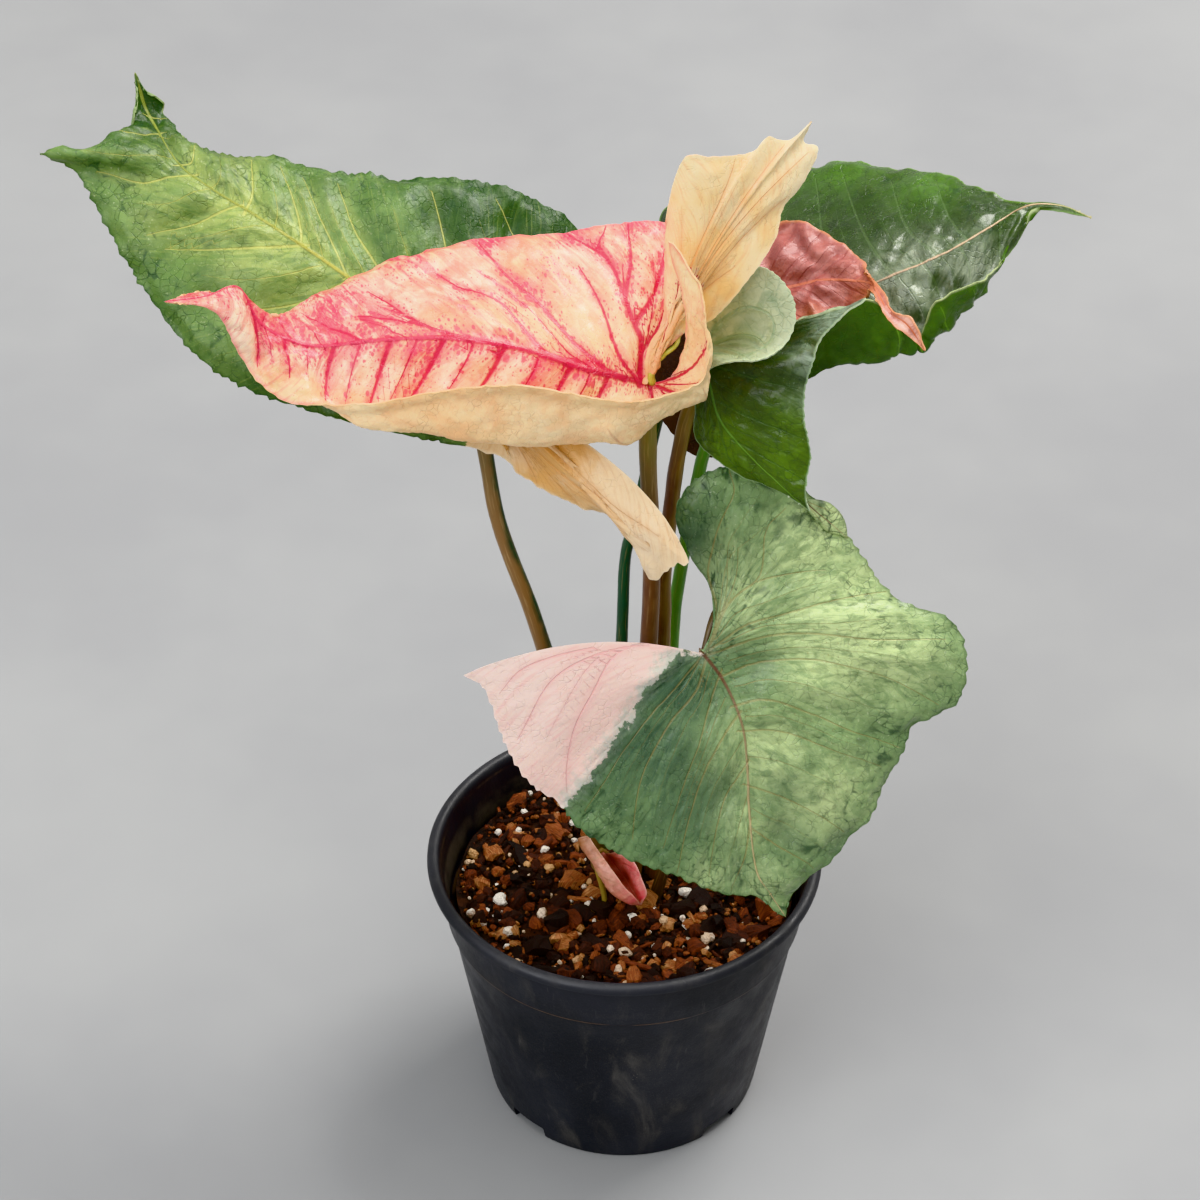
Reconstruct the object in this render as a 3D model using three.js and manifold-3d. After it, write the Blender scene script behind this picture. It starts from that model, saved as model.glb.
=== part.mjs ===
// A potted syngonium: a 12 cm nursery pot, its bark mix, a short stem crown,
// a young folded shoot and six leaves, each leaf one blade grown with its own stalk.
// Millimetres, +Z up. The origin is the middle of the pot's foot, on the floor, and -Y is the front.

import * as THREE from 'three';
import { mergeVertices } from 'three/addons/utils/BufferGeometryUtils.js';
import Module from 'manifold-3d';

const wasm = await Module();
wasm.setup();

// Driving dimensions

const POT_HEIGHT = 90;
const RIM_RADIUS = 60;
const RIM_BAND = 3.2;
const MOUTH_RADIUS = 56.2;
const LEDGE_HEIGHT = 69;
const LEDGE_RADIUS = 53.4;
const COLLAR_RADIUS = 54.6;
const FOOT_RADIUS = 41.7;
const WALL = 1.3;
const FLOOR_TOP = 1.6;
const SLOT_ANGLES = [45, 135, 225, 315];
const SLOT_HALF_ANGLE = 9;
const SLOT_HEIGHT = 4.6;
const SLOT_DEPTH = 4.5;

const MIX_LEVEL = 76;
const MIX_GAP = 0.4;
const MIX_RINGS = [0, 11, 20, 28, 36, 44, 51.6];
const MIX_FOOT = 36.5;
const MIX_BUMP = 1.4;
const BARK_COUNT = 52;
const PERLITE_COUNT = 22;
const HOLE_CLEARANCE = 0.35;

const BLADE_THICKNESS = 0.9;
const BLADE_STEPS = [0, 0.13, 0.36, 0.6, 0.82, 1];
const STALK_SIDES = 8;

// Leaves. `spine` runs along the midrib from the stalk to the apex. Each row of `left` and `right`
// pairs a point on the margin (`edge`) with the fraction of the midrib it is joined to (`at`).
// Rows at 0 fan out of the stalk's end and make the basal lobe. `fold` is the point half way
// across the blade where a half is rolled or folded.

const LEFT_GREEN = {
  spine: [
    [-44, 8, 260], [-61, 18, 273], [-77, 26, 282], [-90, 33, 288],
    [-105, 41, 294], [-124, 52, 301], [-135, 70, 309], [-139, 78, 317],
  ],
  left: [
    { at: 0, edge: [6, -22, 244], fold: [-14, -14, 257] },
    { at: 0, edge: [15, -24, 230], fold: [-10, -17, 251] },
    { at: 0, edge: [17, -22, 218], fold: [-13, -19, 246] },
    { at: 0, edge: [7, -20, 214], fold: [-16, -18, 246] },
    { at: 0, edge: [4, -22, 227], fold: [-20, -16, 247] },
    { at: 0, edge: [-12, -18, 235], fold: [-24, -12, 249] },
    { at: 0, edge: [-24, -12, 239], fold: [-32, -6, 253] },
    { at: 0, edge: [-35, -6, 245] },
    { at: 0, edge: [-52, 2, 243] },
    { at: 0.05, edge: [-71, -3, 252] },
    { at: 0.14, edge: [-89, 1, 255] },
    { at: 0.26, edge: [-107, 5, 260] },
    { at: 0.36, edge: [-121, 12, 267] },
    { at: 0.48, edge: [-135, 26, 279] },
    { at: 0.58, edge: [-144, 37, 289] },
    { at: 0.66, edge: [-154, 50, 301] },
    { at: 0.72, edge: [-164, 51, 307] },
    { at: 0.8, edge: [-149, 56, 305] },
    { at: 0.87, edge: [-141, 62, 306] },
    { at: 0.93, edge: [-138, 68, 310] },
    { at: 1, edge: [-139, 78, 317] },
  ],
  right: [
    { at: 0, edge: [-31, 10, 262] },
    { at: 0, edge: [-16, 24, 261] },
    { at: 0, edge: [-6, 40, 265] },
    { at: 0, edge: [-8, 50, 273] },
    { at: 0, edge: [-15, 54, 281] },
    { at: 0.02, edge: [-27, 57, 288] },
    { at: 0.08, edge: [-41, 58, 293] },
    { at: 0.18, edge: [-57, 58, 295] },
    { at: 0.3, edge: [-74, 58, 296] },
    { at: 0.42, edge: [-88, 59, 298] },
    { at: 0.54, edge: [-103, 62, 300] },
    { at: 0.66, edge: [-116, 61, 301] },
    { at: 0.78, edge: [-124, 62, 305] },
    { at: 0.87, edge: [-129, 70, 307] },
    { at: 0.94, edge: [-135, 73, 312] },
    { at: 1, edge: [-139, 78, 317] },
  ],
};

const FRONT_PINK = {
  spine: [
    [6, 0, 265], [-11, -2, 271], [-30, -3, 279], [-49, -4, 283],
    [-69, -5, 283], [-86, -6, 282], [-99, -6, 289], [-105, -4, 300],
    [-114, -9, 300], [-124, -14, 302],
  ],
  left: [
    { at: 0, edge: [14, -12, 311], fold: [14, -6, 280] },
    { at: 0, edge: [16, -15, 309], fold: [20, -9, 275] },
    { at: 0, edge: [20, -19, 295], fold: [21, -12, 271] },
    { at: 0, edge: [21, -20, 284], fold: [17, -13, 268] },
    { at: 0, edge: [17, -21, 279], fold: [10, -14, 262] },
    { at: 0.03, edge: [4, -23, 276], fold: [-2, -17, 257] },
    { at: 0.12, edge: [-13, -26, 280], fold: [-18, -20, 257] },
    { at: 0.22, edge: [-30, -28, 285], fold: [-37, -22, 259] },
    { at: 0.36, edge: [-49, -27, 282], fold: [-56, -22, 263] },
    { at: 0.5, edge: [-68, -25, 277], fold: [-75, -21, 266] },
    { at: 0.62, edge: [-85, -23, 278], fold: [-92, -19, 271] },
    { at: 0.72, edge: [-98, -20, 290], fold: [-103, -16, 280] },
    { at: 0.8, edge: [-105, -16, 301], fold: [-108, -14, 293] },
    { at: 0.88, edge: [-111, -13, 300] },
    { at: 1, edge: [-124, -14, 302] },
  ],
  right: [
    { at: 0, edge: [15, 1, 281], fold: [8, 1, 272] },
    { at: 0, edge: [27, -1, 291], fold: [18, 0, 286] },
    { at: 0, edge: [39, 3, 309], fold: [21, 0, 293] },
    { at: 0, edge: [51, 10, 328], fold: [24, 0, 303] },
    { at: 0, edge: [48, 12, 342], fold: [23, 0, 308] },
    { at: 0, edge: [37, 8, 339], fold: [19, -1, 311] },
    { at: 0, edge: [23, 4, 336], fold: [17, -1, 310] },
    { at: 0, edge: [14, 2, 336], fold: [14, 0, 304] },
    { at: 0, edge: [11, 4, 321], fold: [12, 3, 294] },
    { at: 0, edge: [11, 14, 304], fold: [12, 12, 284] },
    { at: 0, edge: [18, 33, 293], fold: [13, 20, 282] },
    { at: 0, edge: [10, 38, 293], fold: [10, 20, 280] },
    { at: 0.02, edge: [0, 38, 293] },
    { at: 0.1, edge: [-19, 37, 290] },
    { at: 0.22, edge: [-40, 35, 289] },
    { at: 0.36, edge: [-60, 29, 288] },
    { at: 0.5, edge: [-80, 22, 283] },
    { at: 0.62, edge: [-90, 12, 283] },
    { at: 0.72, edge: [-96, 2, 285] },
    { at: 0.8, edge: [-103, -2, 294] },
    { at: 0.88, edge: [-114, -8, 301] },
    { at: 1, edge: [-124, -14, 302] },
  ],
};

const RIGHT_DARK = {
  spine: [
    [31, 25, 260], [49, 30, 268], [70, 33, 276], [89, 37, 283],
    [102, 44, 287], [113, 52, 289], [123, 52, 289], [131, 46, 289],
  ],
  left: [
    { at: 0, edge: [19, 23, 254] },
    { at: 0, edge: [12, 23, 242] },
    { at: 0, edge: [13, 23, 231] },
    { at: 0, edge: [21, 22, 223] },
    { at: 0, edge: [34, 19, 231] },
    { at: 0, edge: [48, 15, 267], fold: [46, 18, 250] },
    { at: 0.05, edge: [57, 13, 278], fold: [59, 15, 260] },
    { at: 0.15, edge: [67, 14, 283], fold: [71, 15, 262] },
    { at: 0.25, edge: [75, 15, 276], fold: [79, 17, 265] },
    { at: 0.34, edge: [81, 16, 268], fold: [83, 19, 266] },
    { at: 0.42, edge: [84, 15, 278], fold: [89, 22, 269] },
    { at: 0.52, edge: [91, 18, 284], fold: [96, 26, 273] },
    { at: 0.62, edge: [99, 26, 283], fold: [102, 32, 277] },
    { at: 0.7, edge: [107, 38, 281] },
    { at: 0.77, edge: [112, 46, 284] },
    { at: 0.82, edge: [114, 50, 288] },
    { at: 0.9, edge: [120, 51, 288] },
    { at: 1, edge: [131, 46, 289] },
  ],
  right: [
    { at: 0, edge: [25, 40, 259] },
    { at: 0, edge: [19, 64, 258] },
    { at: 0, edge: [11, 86, 257] },
    { at: 0, edge: [11, 95, 258] },
    { at: 0, edge: [19, 100, 262] },
    { at: 0, edge: [35, 100, 267] },
    { at: 0.05, edge: [51, 97, 273] },
    { at: 0.15, edge: [66, 92, 278] },
    { at: 0.27, edge: [81, 82, 282] },
    { at: 0.4, edge: [92, 73, 285] },
    { at: 0.55, edge: [102, 62, 287] },
    { at: 0.72, edge: [112, 54, 289] },
    { at: 0.82, edge: [118, 54, 289] },
    { at: 0.9, edge: [124, 52, 289] },
    { at: 1, edge: [131, 46, 289] },
  ],
};

const SMALL_SALMON = {
  spine: [
    [29, 32, 271], [43, 34, 273], [56, 33, 277], [67, 27, 280],
    [69, 19, 283], [72, 10, 282], [77, 5, 281], [82, 1, 275],
  ],
  left: [
    { at: 0, edge: [29, 26, 269] },
    { at: 0, edge: [36, 22, 270] },
    { at: 0.1, edge: [46, 21, 271] },
    { at: 0.22, edge: [52, 21, 271] },
    { at: 0.34, edge: [60, 22, 273] },
    { at: 0.44, edge: [66, 23, 278] },
    { at: 0.52, edge: [67, 22, 281] },
    { at: 0.62, edge: [69, 14, 284] },
    { at: 0.75, edge: [71, 8, 282] },
    { at: 0.88, edge: [75, 3, 281] },
    { at: 1, edge: [82, 1, 275] },
  ],
  right: [
    { at: 0, edge: [32, 42, 273] },
    { at: 0, edge: [38, 50, 279] },
    { at: 0.1, edge: [46, 52, 284] },
    { at: 0.22, edge: [55, 48, 283] },
    { at: 0.34, edge: [61, 43, 281] },
    { at: 0.44, edge: [66, 36, 280] },
    { at: 0.52, edge: [68, 27, 282] },
    { at: 0.62, edge: [71, 17, 284] },
    { at: 0.75, edge: [73, 9, 283] },
    { at: 0.88, edge: [78, 4, 283] },
    { at: 1, edge: [82, 1, 275] },
  ],
};

const DROOPING = {
  spine: [
    [21, 10, 269], [23, 5, 261], [26, 0, 252], [34, -5, 244],
    [43, -10, 237], [51, -14, 231],
  ],
  left: [
    { at: 0, edge: [22, 14, 286] },
    { at: 0, edge: [30, 13, 296] },
    { at: 0, edge: [39, 11, 296] },
    { at: 0, edge: [45, 9, 289] },
    { at: 0, edge: [46, 7, 281] },
    { at: 0, edge: [43, 4, 274] },
    { at: 0, edge: [34, 1, 272] },
    { at: 0, edge: [25, 0, 272] },
    { at: 0.04, edge: [19, 6, 261] },
    { at: 0.16, edge: [19, 6, 251] },
    { at: 0.32, edge: [19, 4, 243] },
    { at: 0.46, edge: [24, 0, 239] },
    { at: 0.6, edge: [33, -4, 235] },
    { at: 0.76, edge: [41, -9, 235] },
    { at: 0.9, edge: [47, -12, 233] },
    { at: 1, edge: [51, -14, 231] },
  ],
  right: [
    { at: 0, edge: [30, 13, 271] },
    { at: 0, edge: [45, 13, 276] },
    { at: 0, edge: [57, 9, 283] },
    { at: 0, edge: [65, 4, 291] },
    { at: 0, edge: [59, 2, 287] },
    { at: 0, edge: [54, 0, 281] },
    { at: 0.05, edge: [51, -3, 274] },
    { at: 0.18, edge: [49, -5, 266] },
    { at: 0.34, edge: [49, -8, 258] },
    { at: 0.5, edge: [51, -10, 248] },
    { at: 0.68, edge: [50, -12, 240] },
    { at: 0.85, edge: [50, -14, 235] },
    { at: 1, edge: [51, -14, 231] },
  ],
};

const HALF_MOON = {
  spine: [
    [22, -22, 186], [28, -25, 178], [33, -30, 167], [35, -35, 153],
    [36, -40, 137], [38, -43, 122], [42, -43, 113], [47, -44, 104],
  ],
  left: [
    { at: 0, edge: [-46, -28, 183], fold: [-12, -27, 194] },
    { at: 0, edge: [-40, -30, 179], fold: [-10, -30, 189] },
    { at: 0, edge: [-36, -34, 168], fold: [-7, -33, 182] },
    { at: 0, edge: [-32, -37, 159], fold: [-5, -34, 177] },
    { at: 0, edge: [-26, -40, 151], fold: [-2, -34, 172] },
    { at: 0, edge: [-19, -41, 146], fold: [1, -35, 168] },
    { at: 0, edge: [-14, -43, 139], fold: [5, -35, 164] },
    { at: 0.05, edge: [-4, -44, 130] },
    { at: 0.16, edge: [7, -44, 124] },
    { at: 0.3, edge: [16, -44, 120] },
    { at: 0.46, edge: [26, -44, 114] },
    { at: 0.6, edge: [33, -43, 112] },
    { at: 0.78, edge: [39, -43, 111] },
    { at: 0.92, edge: [44, -44, 106] },
    { at: 1, edge: [47, -44, 104] },
  ],
  right: [
    { at: 0, edge: [17, -8, 212], fold: [25, -15, 198] },
    { at: 0, edge: [14, -4, 225], fold: [25, -13, 202] },
    { at: 0, edge: [22, 1, 233], fold: [27, -12, 207] },
    { at: 0, edge: [35, 3, 234], fold: [31, -12, 209] },
    { at: 0, edge: [50, 3, 226], fold: [36, -13, 206] },
    { at: 0, edge: [63, -1, 212], fold: [43, -15, 200] },
    { at: 0, edge: [76, -6, 195], fold: [48, -17, 194] },
    { at: 0.05, edge: [93, -8, 187] },
    { at: 0.12, edge: [98, -12, 178] },
    { at: 0.2, edge: [95, -17, 163] },
    { at: 0.3, edge: [84, -21, 158] },
    { at: 0.42, edge: [79, -25, 148] },
    { at: 0.56, edge: [73, -30, 135] },
    { at: 0.7, edge: [63, -35, 123] },
    { at: 0.84, edge: [52, -40, 114] },
    { at: 0.93, edge: [48, -42, 109] },
    { at: 1, edge: [47, -44, 104] },
  ],
};

const SHOOT = {
  spine: [
    [-7, 0, 90], [-4, -4, 85], [-1, -8, 83], [2, -12, 82],
    [3, -15, 82], [5, -16, 83],
  ],
  left: [
    { at: 0, edge: [-13, -1, 93] },
    { at: 0, edge: [-13, -2, 97] },
    { at: 0.2, edge: [-8, -7, 93] },
    { at: 0.4, edge: [-5, -11, 90] },
    { at: 0.6, edge: [-2, -13, 86] },
    { at: 0.8, edge: [1, -15, 84] },
    { at: 1, edge: [5, -16, 83] },
  ],
  right: [
    { at: 0, edge: [-4, -4, 99] },
    { at: 0, edge: [-2, -7, 102] },
    { at: 0.2, edge: [0, -10, 99] },
    { at: 0.4, edge: [4, -13, 95] },
    { at: 0.6, edge: [6, -15, 92] },
    { at: 0.8, edge: [7, -16, 87] },
    { at: 1, edge: [5, -16, 83] },
  ],
};

const SWELL_UP = [0, 0, 1];
const SWELL_FRONT = [0, -0.8, 0.6];

const LEAVES = [
  {
    name: 'leaf_left_green',
    shape: LEFT_GREEN,
    swell: 0.05,
    swellTowards: SWELL_UP,
    stalk: [
      [-5, 7, 64], [-7, 6, 77], [-15, 2, 129], [-23, 0, 167],
      [-28, -1, 188], [-33, 0, 204], [-37, 2, 219], [-40, 6, 239],
      [-44, 8, 260],
    ],
    radii: [2.7, 2.1],
    colour: 0x5f8a4e,
  },
  {
    name: 'leaf_front_pink',
    shape: FRONT_PINK,
    swell: 0.04,
    swellTowards: SWELL_UP,
    stalk: [
      [1, 1, 64], [2, 1, 77], [7, 1, 176], [7, 0, 214],
      [6, 0, 240], [6, 0, 265],
    ],
    radii: [2.95, 2.35],
    colour: 0xe8bf93,
  },
  {
    name: 'leaf_right_dark',
    shape: RIGHT_DARK,
    swell: 0.05,
    swellTowards: SWELL_UP,
    stalk: [
      [9, 3, 64], [9, 4, 77], [11, 8, 170], [11, 8, 190],
      [13, 9, 216], [15, 10, 234], [19, 14, 249], [31, 25, 260],
    ],
    radii: [2.6, 2.1],
    colour: 0x2f5a2c,
  },
  {
    name: 'leaf_small_salmon',
    shape: SMALL_SALMON,
    swell: 0.06,
    swellTowards: SWELL_UP,
    stalk: [
      [-4, 15, 64], [-4, 15, 77], [-1, 15, 160], [0, 17, 190],
      [3, 19, 202], [6, 25, 216], [11, 32, 236], [19, 34, 255],
      [29, 32, 271],
    ],
    radii: [2.0, 1.5],
    colour: 0xb8705f,
  },
  {
    name: 'leaf_drooping',
    shape: DROOPING,
    swell: 0.08,
    swellTowards: SWELL_FRONT,
    stalk: [
      [11, 12, 64], [11, 12, 77], [14, 15, 161], [16, 15, 186],
      [21, 13, 225], [23, 12, 236], [24, 12, 250], [21, 10.4, 268.4],
    ],
    radii: [2.2, 1.8],
    colour: 0x33613a,
  },
  {
    name: 'leaf_half_moon',
    shape: HALF_MOON,
    swell: 0.05,
    swellTowards: SWELL_FRONT,
    stalk: [
      [7, -4, 64], [10, -4, 77], [22, -2, 128], [30, -1, 166],
      [30, -4, 187], [26, -12, 193], [22, -22, 186],
    ],
    radii: [1.9, 1.4],
    colour: 0x5d8058,
  },
];

const SHOOT_STALK = [
  [-7, -9, 66],
  [-6, -9, 78],
  [-8, -8, 90],
  [-10, -4, 94],
  [-7, 0, 90],
];
const SHOOT_RADII = [1.7, 1.2];

const CROWN_RADIUS = 4.2;
const CROWN_TOP = 84;
const CROWN_FOOT = 62;
const CROWN_AT = [2, 10];

// Helpers

const vec = (p) => new THREE.Vector3(p[0], p[1], p[2]);

// A repeatable stream of numbers between 0 and 1.
function stream(seed) {
  let state = seed;
  return () => {
    state = (state * 1664525 + 1013904223) % 4294967296;
    return state / 4294967296;
  };
}

// A smooth value through evenly spaced points, for t between 0 and 1.
function through(points, t) {
  const last = points.length - 1;
  const place = Math.min(Math.max(t, 0), 1) * last;
  const i = Math.min(Math.floor(place), last - 1);
  const w = place - i;
  const p1 = points[i];
  const p2 = points[i + 1];
  const p0 = i > 0 ? points[i - 1] : p1.clone().multiplyScalar(2).sub(p2);
  const p3 = i + 2 <= last ? points[i + 2] : p2.clone().multiplyScalar(2).sub(p1);
  const a = p2.clone().sub(p0).multiplyScalar(0.5);
  const b = p3.clone().sub(p1).multiplyScalar(0.5);
  const w2 = w * w;
  const w3 = w2 * w;
  const out = p1.clone().multiplyScalar(2 * w3 - 3 * w2 + 1);
  out.addScaledVector(a, w3 - 2 * w2 + w);
  out.addScaledVector(p2, -2 * w3 + 3 * w2);
  out.addScaledVector(b, w3 - w2);
  return out;
}

function indexed(positions, indices) {
  const geometry = new THREE.BufferGeometry();
  geometry.setAttribute('position', new THREE.Float32BufferAttribute(positions, 3));
  geometry.setIndex(indices);
  return geometry;
}

// The triangles whose three corners differ.
function withoutSlivers(index) {
  const kept = [];
  for (let i = 0; i < index.length; i += 3) {
    const [a, b, c] = [index[i], index[i + 1], index[i + 2]];
    if (a !== b && b !== c && c !== a) {
      kept.push(a, b, c);
    }
  }
  return kept;
}

function solid(geometry) {
  const bare = geometry.clone();
  bare.deleteAttribute('normal');
  bare.deleteAttribute('uv');
  const merged = mergeVertices(bare, 1e-4);
  const kept = withoutSlivers(merged.index.array);
  return new wasm.Manifold(
    new wasm.Mesh({
      numProp: 3,
      vertProperties: new Float32Array(merged.attributes.position.array),
      triVerts: new Uint32Array(kept),
    }),
  );
}

// A solid's surface, with points closer than 0.01 mm made one.
function geometryOf(body) {
  const mesh = body.getMesh();
  const merged = mergeVertices(indexed(Array.from(mesh.vertProperties), Array.from(mesh.triVerts)), 0.01);
  merged.setIndex(withoutSlivers(Array.from(merged.index.array)));
  return merged;
}

function volumeOf(positions, triangles) {
  let six = 0;
  const [a, b, c] = [new THREE.Vector3(), new THREE.Vector3(), new THREE.Vector3()];
  for (let i = 0; i < triangles.length; i += 3) {
    a.fromArray(positions, triangles[i] * 3);
    b.fromArray(positions, triangles[i + 1] * 3);
    c.fromArray(positions, triangles[i + 2] * 3);
    six += a.dot(b.cross(c));
  }
  return six / 6;
}

// Blades

// The midrib, the fold and the margin of one half, as curves of a place t between 0 and 1.
function halfBlade(rows, spine, swell, swellTowards) {
  const edges = rows.map((row) => vec(row.edge));
  const folds = rows.map((row) => {
    if (row.fold) {
      return vec(row.fold);
    }
    const root = through(spine, row.at);
    const edge = vec(row.edge);
    const rise = root.distanceTo(edge) * swell;
    return root.clone().add(edge).multiplyScalar(0.5).addScaledVector(swellTowards, rise);
  });
  const at = (t) => {
    const place = Math.min(Math.max(t, 0), 1) * (rows.length - 1);
    const i = Math.min(Math.floor(place), rows.length - 2);
    return rows[i].at + (rows[i + 1].at - rows[i].at) * (place - i);
  };
  return { edges, folds, at, last: rows.length - 1 };
}

function placeAt(half, rows, fraction) {
  for (let i = 0; i < rows.length - 1; i += 1) {
    if (rows[i + 1].at >= fraction && rows[i + 1].at > rows[i].at) {
      const w = (fraction - rows[i].at) / (rows[i + 1].at - rows[i].at);
      return (i + Math.max(w, 0)) / half.last;
    }
  }
  return 1;
}

function bladePoint(half, spine, t, v) {
  const root = through(spine, half.at(t));
  const fold = through(half.folds, t);
  const edge = through(half.edges, t);
  return root
    .multiplyScalar((1 - v) * (1 - 2 * v))
    .addScaledVector(fold, 4 * v * (1 - v))
    .addScaledVector(edge, v * (2 * v - 1));
}

// The places of the rows: two for each stretch of the lobe, then one for each station on the midrib.
function rowPlaces(half, rows, stations) {
  const lobe = rows.filter((row) => row.at === 0).length - 1;
  const places = [];
  for (let i = 0; i < lobe * 2; i += 1) {
    places.push(i / (2 * half.last));
  }
  stations.forEach((station) => places.push(placeAt(half, rows, station)));
  return places;
}

function stationsOf(shape) {
  const all = [...shape.left, ...shape.right].map((row) => row.at).sort((a, b) => a - b);
  const kept = [0];
  all.forEach((value) => {
    if (value - kept[kept.length - 1] > 0.03) {
      kept.push(value);
    }
  });
  kept[kept.length - 1] = 1;
  return kept;
}

// A blade: its two halves as one sheet, given a thickness along its own normals.
function blade(shape, swell, towards) {
  const spine = shape.spine.map(vec);
  const swellTowards = vec(towards);
  const stations = stationsOf(shape);
  const sheet = [];
  const quads = [];
  [shape.left, shape.right].forEach((rows, side) => {
    const half = halfBlade(rows, spine, swell, swellTowards);
    const places = rowPlaces(half, rows, stations);
    const start = sheet.length / 3;
    const across = BLADE_STEPS.length;
    places.forEach((t, k) => {
      BLADE_STEPS.forEach((v, j) => {
        sheet.push(...bladePoint(half, spine, t, v).toArray());
        if (k > 0 && j > 0) {
          const corner = start + k * across + j;
          const ring = [corner - across - 1, corner - across, corner, corner - 1];
          quads.push(side === 0 ? ring : ring.reverse());
        }
      });
    });
  });
  return thicken(sheet, quads);
}

function thicken(sheet, quads) {
  const triangles = quads.flatMap(([a, b, c, d]) => [a, b, c, a, c, d]);
  const flat = mergeVertices(indexed(sheet, triangles), 0.02);
  const kept = withoutSlivers(Array.from(flat.index.array));
  flat.setIndex(kept);
  flat.computeVertexNormals();
  const middle = flat.attributes.position.array;
  const normals = flat.attributes.normal.array;
  const count = middle.length / 3;
  const positions = new Array(count * 6);
  for (let i = 0; i < count * 3; i += 1) {
    positions[i] = middle[i] + (normals[i] * BLADE_THICKNESS) / 2;
    positions[count * 3 + i] = middle[i] - (normals[i] * BLADE_THICKNESS) / 2;
  }
  const both = [];
  const open = new Map();
  for (let i = 0; i < kept.length; i += 3) {
    const [a, b, c] = kept.slice(i, i + 3);
    both.push(a, b, c, c + count, b + count, a + count);
    [[a, b], [b, c], [c, a]].forEach(([p, q]) => {
      const twin = `${q} ${p}`;
      if (open.has(twin)) {
        open.delete(twin);
      } else {
        open.set(`${p} ${q}`, [p, q]);
      }
    });
  }
  open.forEach(([p, q]) => both.push(q, p, p + count, q, p + count, q + count));
  const volume = volumeOf(positions, both);
  if (volume < 0) {
    both.reverse();
  }
  return indexed(positions, both);
}

// A tapered stalk along a smooth line, closed at both ends. The hole for it in the mix is the same
// shape with `extra` all round and below.
function stalk(points, radii, steps, extra = 0) {
  const nodes = points.map(vec);
  const down = nodes[0].clone().sub(nodes[1]).normalize();
  nodes[0].addScaledVector(down, extra);
  const line = new THREE.CatmullRomCurve3(nodes, false, 'catmullrom', 0.5);
  const frames = line.computeFrenetFrames(steps, false);
  const positions = [];
  const triangles = [];
  for (let k = 0; k <= steps; k += 1) {
    const middle = line.getPointAt(k / steps);
    const radius = radii[0] + (radii[1] - radii[0]) * (k / steps) + extra;
    for (let i = 0; i < STALK_SIDES; i += 1) {
      const angle = (i / STALK_SIDES) * Math.PI * 2;
      const spot = middle.clone();
      spot.addScaledVector(frames.normals[k], Math.cos(angle) * radius);
      spot.addScaledVector(frames.binormals[k], Math.sin(angle) * radius);
      positions.push(...spot.toArray());
    }
  }
  for (let k = 0; k < steps; k += 1) {
    for (let i = 0; i < STALK_SIDES; i += 1) {
      const a = k * STALK_SIDES + i;
      const b = k * STALK_SIDES + ((i + 1) % STALK_SIDES);
      triangles.push(a, b, b + STALK_SIDES, a, b + STALK_SIDES, a + STALK_SIDES);
    }
  }
  const foot = positions.length / 3;
  positions.push(...line.getPointAt(0).toArray(), ...line.getPointAt(1).toArray());
  for (let i = 0; i < STALK_SIDES; i += 1) {
    const j = (i + 1) % STALK_SIDES;
    triangles.push(foot, j, i, foot + 1, steps * STALK_SIDES + i, steps * STALK_SIDES + j);
  }
  if (volumeOf(positions, triangles) < 0) {
    triangles.reverse();
  }
  return indexed(positions, triangles);
}

function lathe(profile, sides) {
  const points = profile.map(([r, z]) => new THREE.Vector2(r, z));
  return new THREE.LatheGeometry(points, sides).rotateX(Math.PI / 2);
}

// Pot: a tapered wall with a rolled rim, a collar above a small ledge, and four drain slots
// where the wall meets the floor

function buildPot() {
  const inside = (z) => FOOT_RADIUS - WALL + ((LEDGE_RADIUS - FOOT_RADIUS) * z) / LEDGE_HEIGHT;
  const top = POT_HEIGHT;
  const band = top - RIM_BAND;
  const body = solid(
    lathe(
      [
        [0, 0],
        [FOOT_RADIUS - 0.5, 0],
        [FOOT_RADIUS, 0.6],
        [LEDGE_RADIUS, LEDGE_HEIGHT],
        [COLLAR_RADIUS, LEDGE_HEIGHT + 1],
        [COLLAR_RADIUS + 1.6, band],
        [RIM_RADIUS - 0.5, band],
        [RIM_RADIUS, band + 0.6],
        [RIM_RADIUS, top - 1.2],
        [RIM_RADIUS - 0.7, top - 0.3],
        [RIM_RADIUS - 1.9, top],
        [MOUTH_RADIUS + 0.6, top - 0.5],
        [MOUTH_RADIUS, top - 2.2],
        [COLLAR_RADIUS - WALL, LEDGE_HEIGHT + 1.6],
        [inside(LEDGE_HEIGHT), LEDGE_HEIGHT],
        [inside(FLOOR_TOP + 1), FLOOR_TOP + 1],
        [inside(FLOOR_TOP) - 1, FLOOR_TOP],
        [0, FLOOR_TOP],
      ],
      48,
    ),
  );
  const cutters = SLOT_ANGLES.map((angle) => {
    const width = 2 * FOOT_RADIUS * Math.sin(THREE.MathUtils.degToRad(SLOT_HALF_ANGLE));
    const slot = new THREE.BoxGeometry(SLOT_DEPTH * 2, width, SLOT_HEIGHT * 2);
    slot.translate(FOOT_RADIUS, 0, 0);
    slot.rotateZ(THREE.MathUtils.degToRad(angle));
    return solid(slot);
  });
  return body.subtract(wasm.Manifold.union(cutters));
}

// Mix: a fill with an uneven top, bark chips and perlite grains sunk into it

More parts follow.
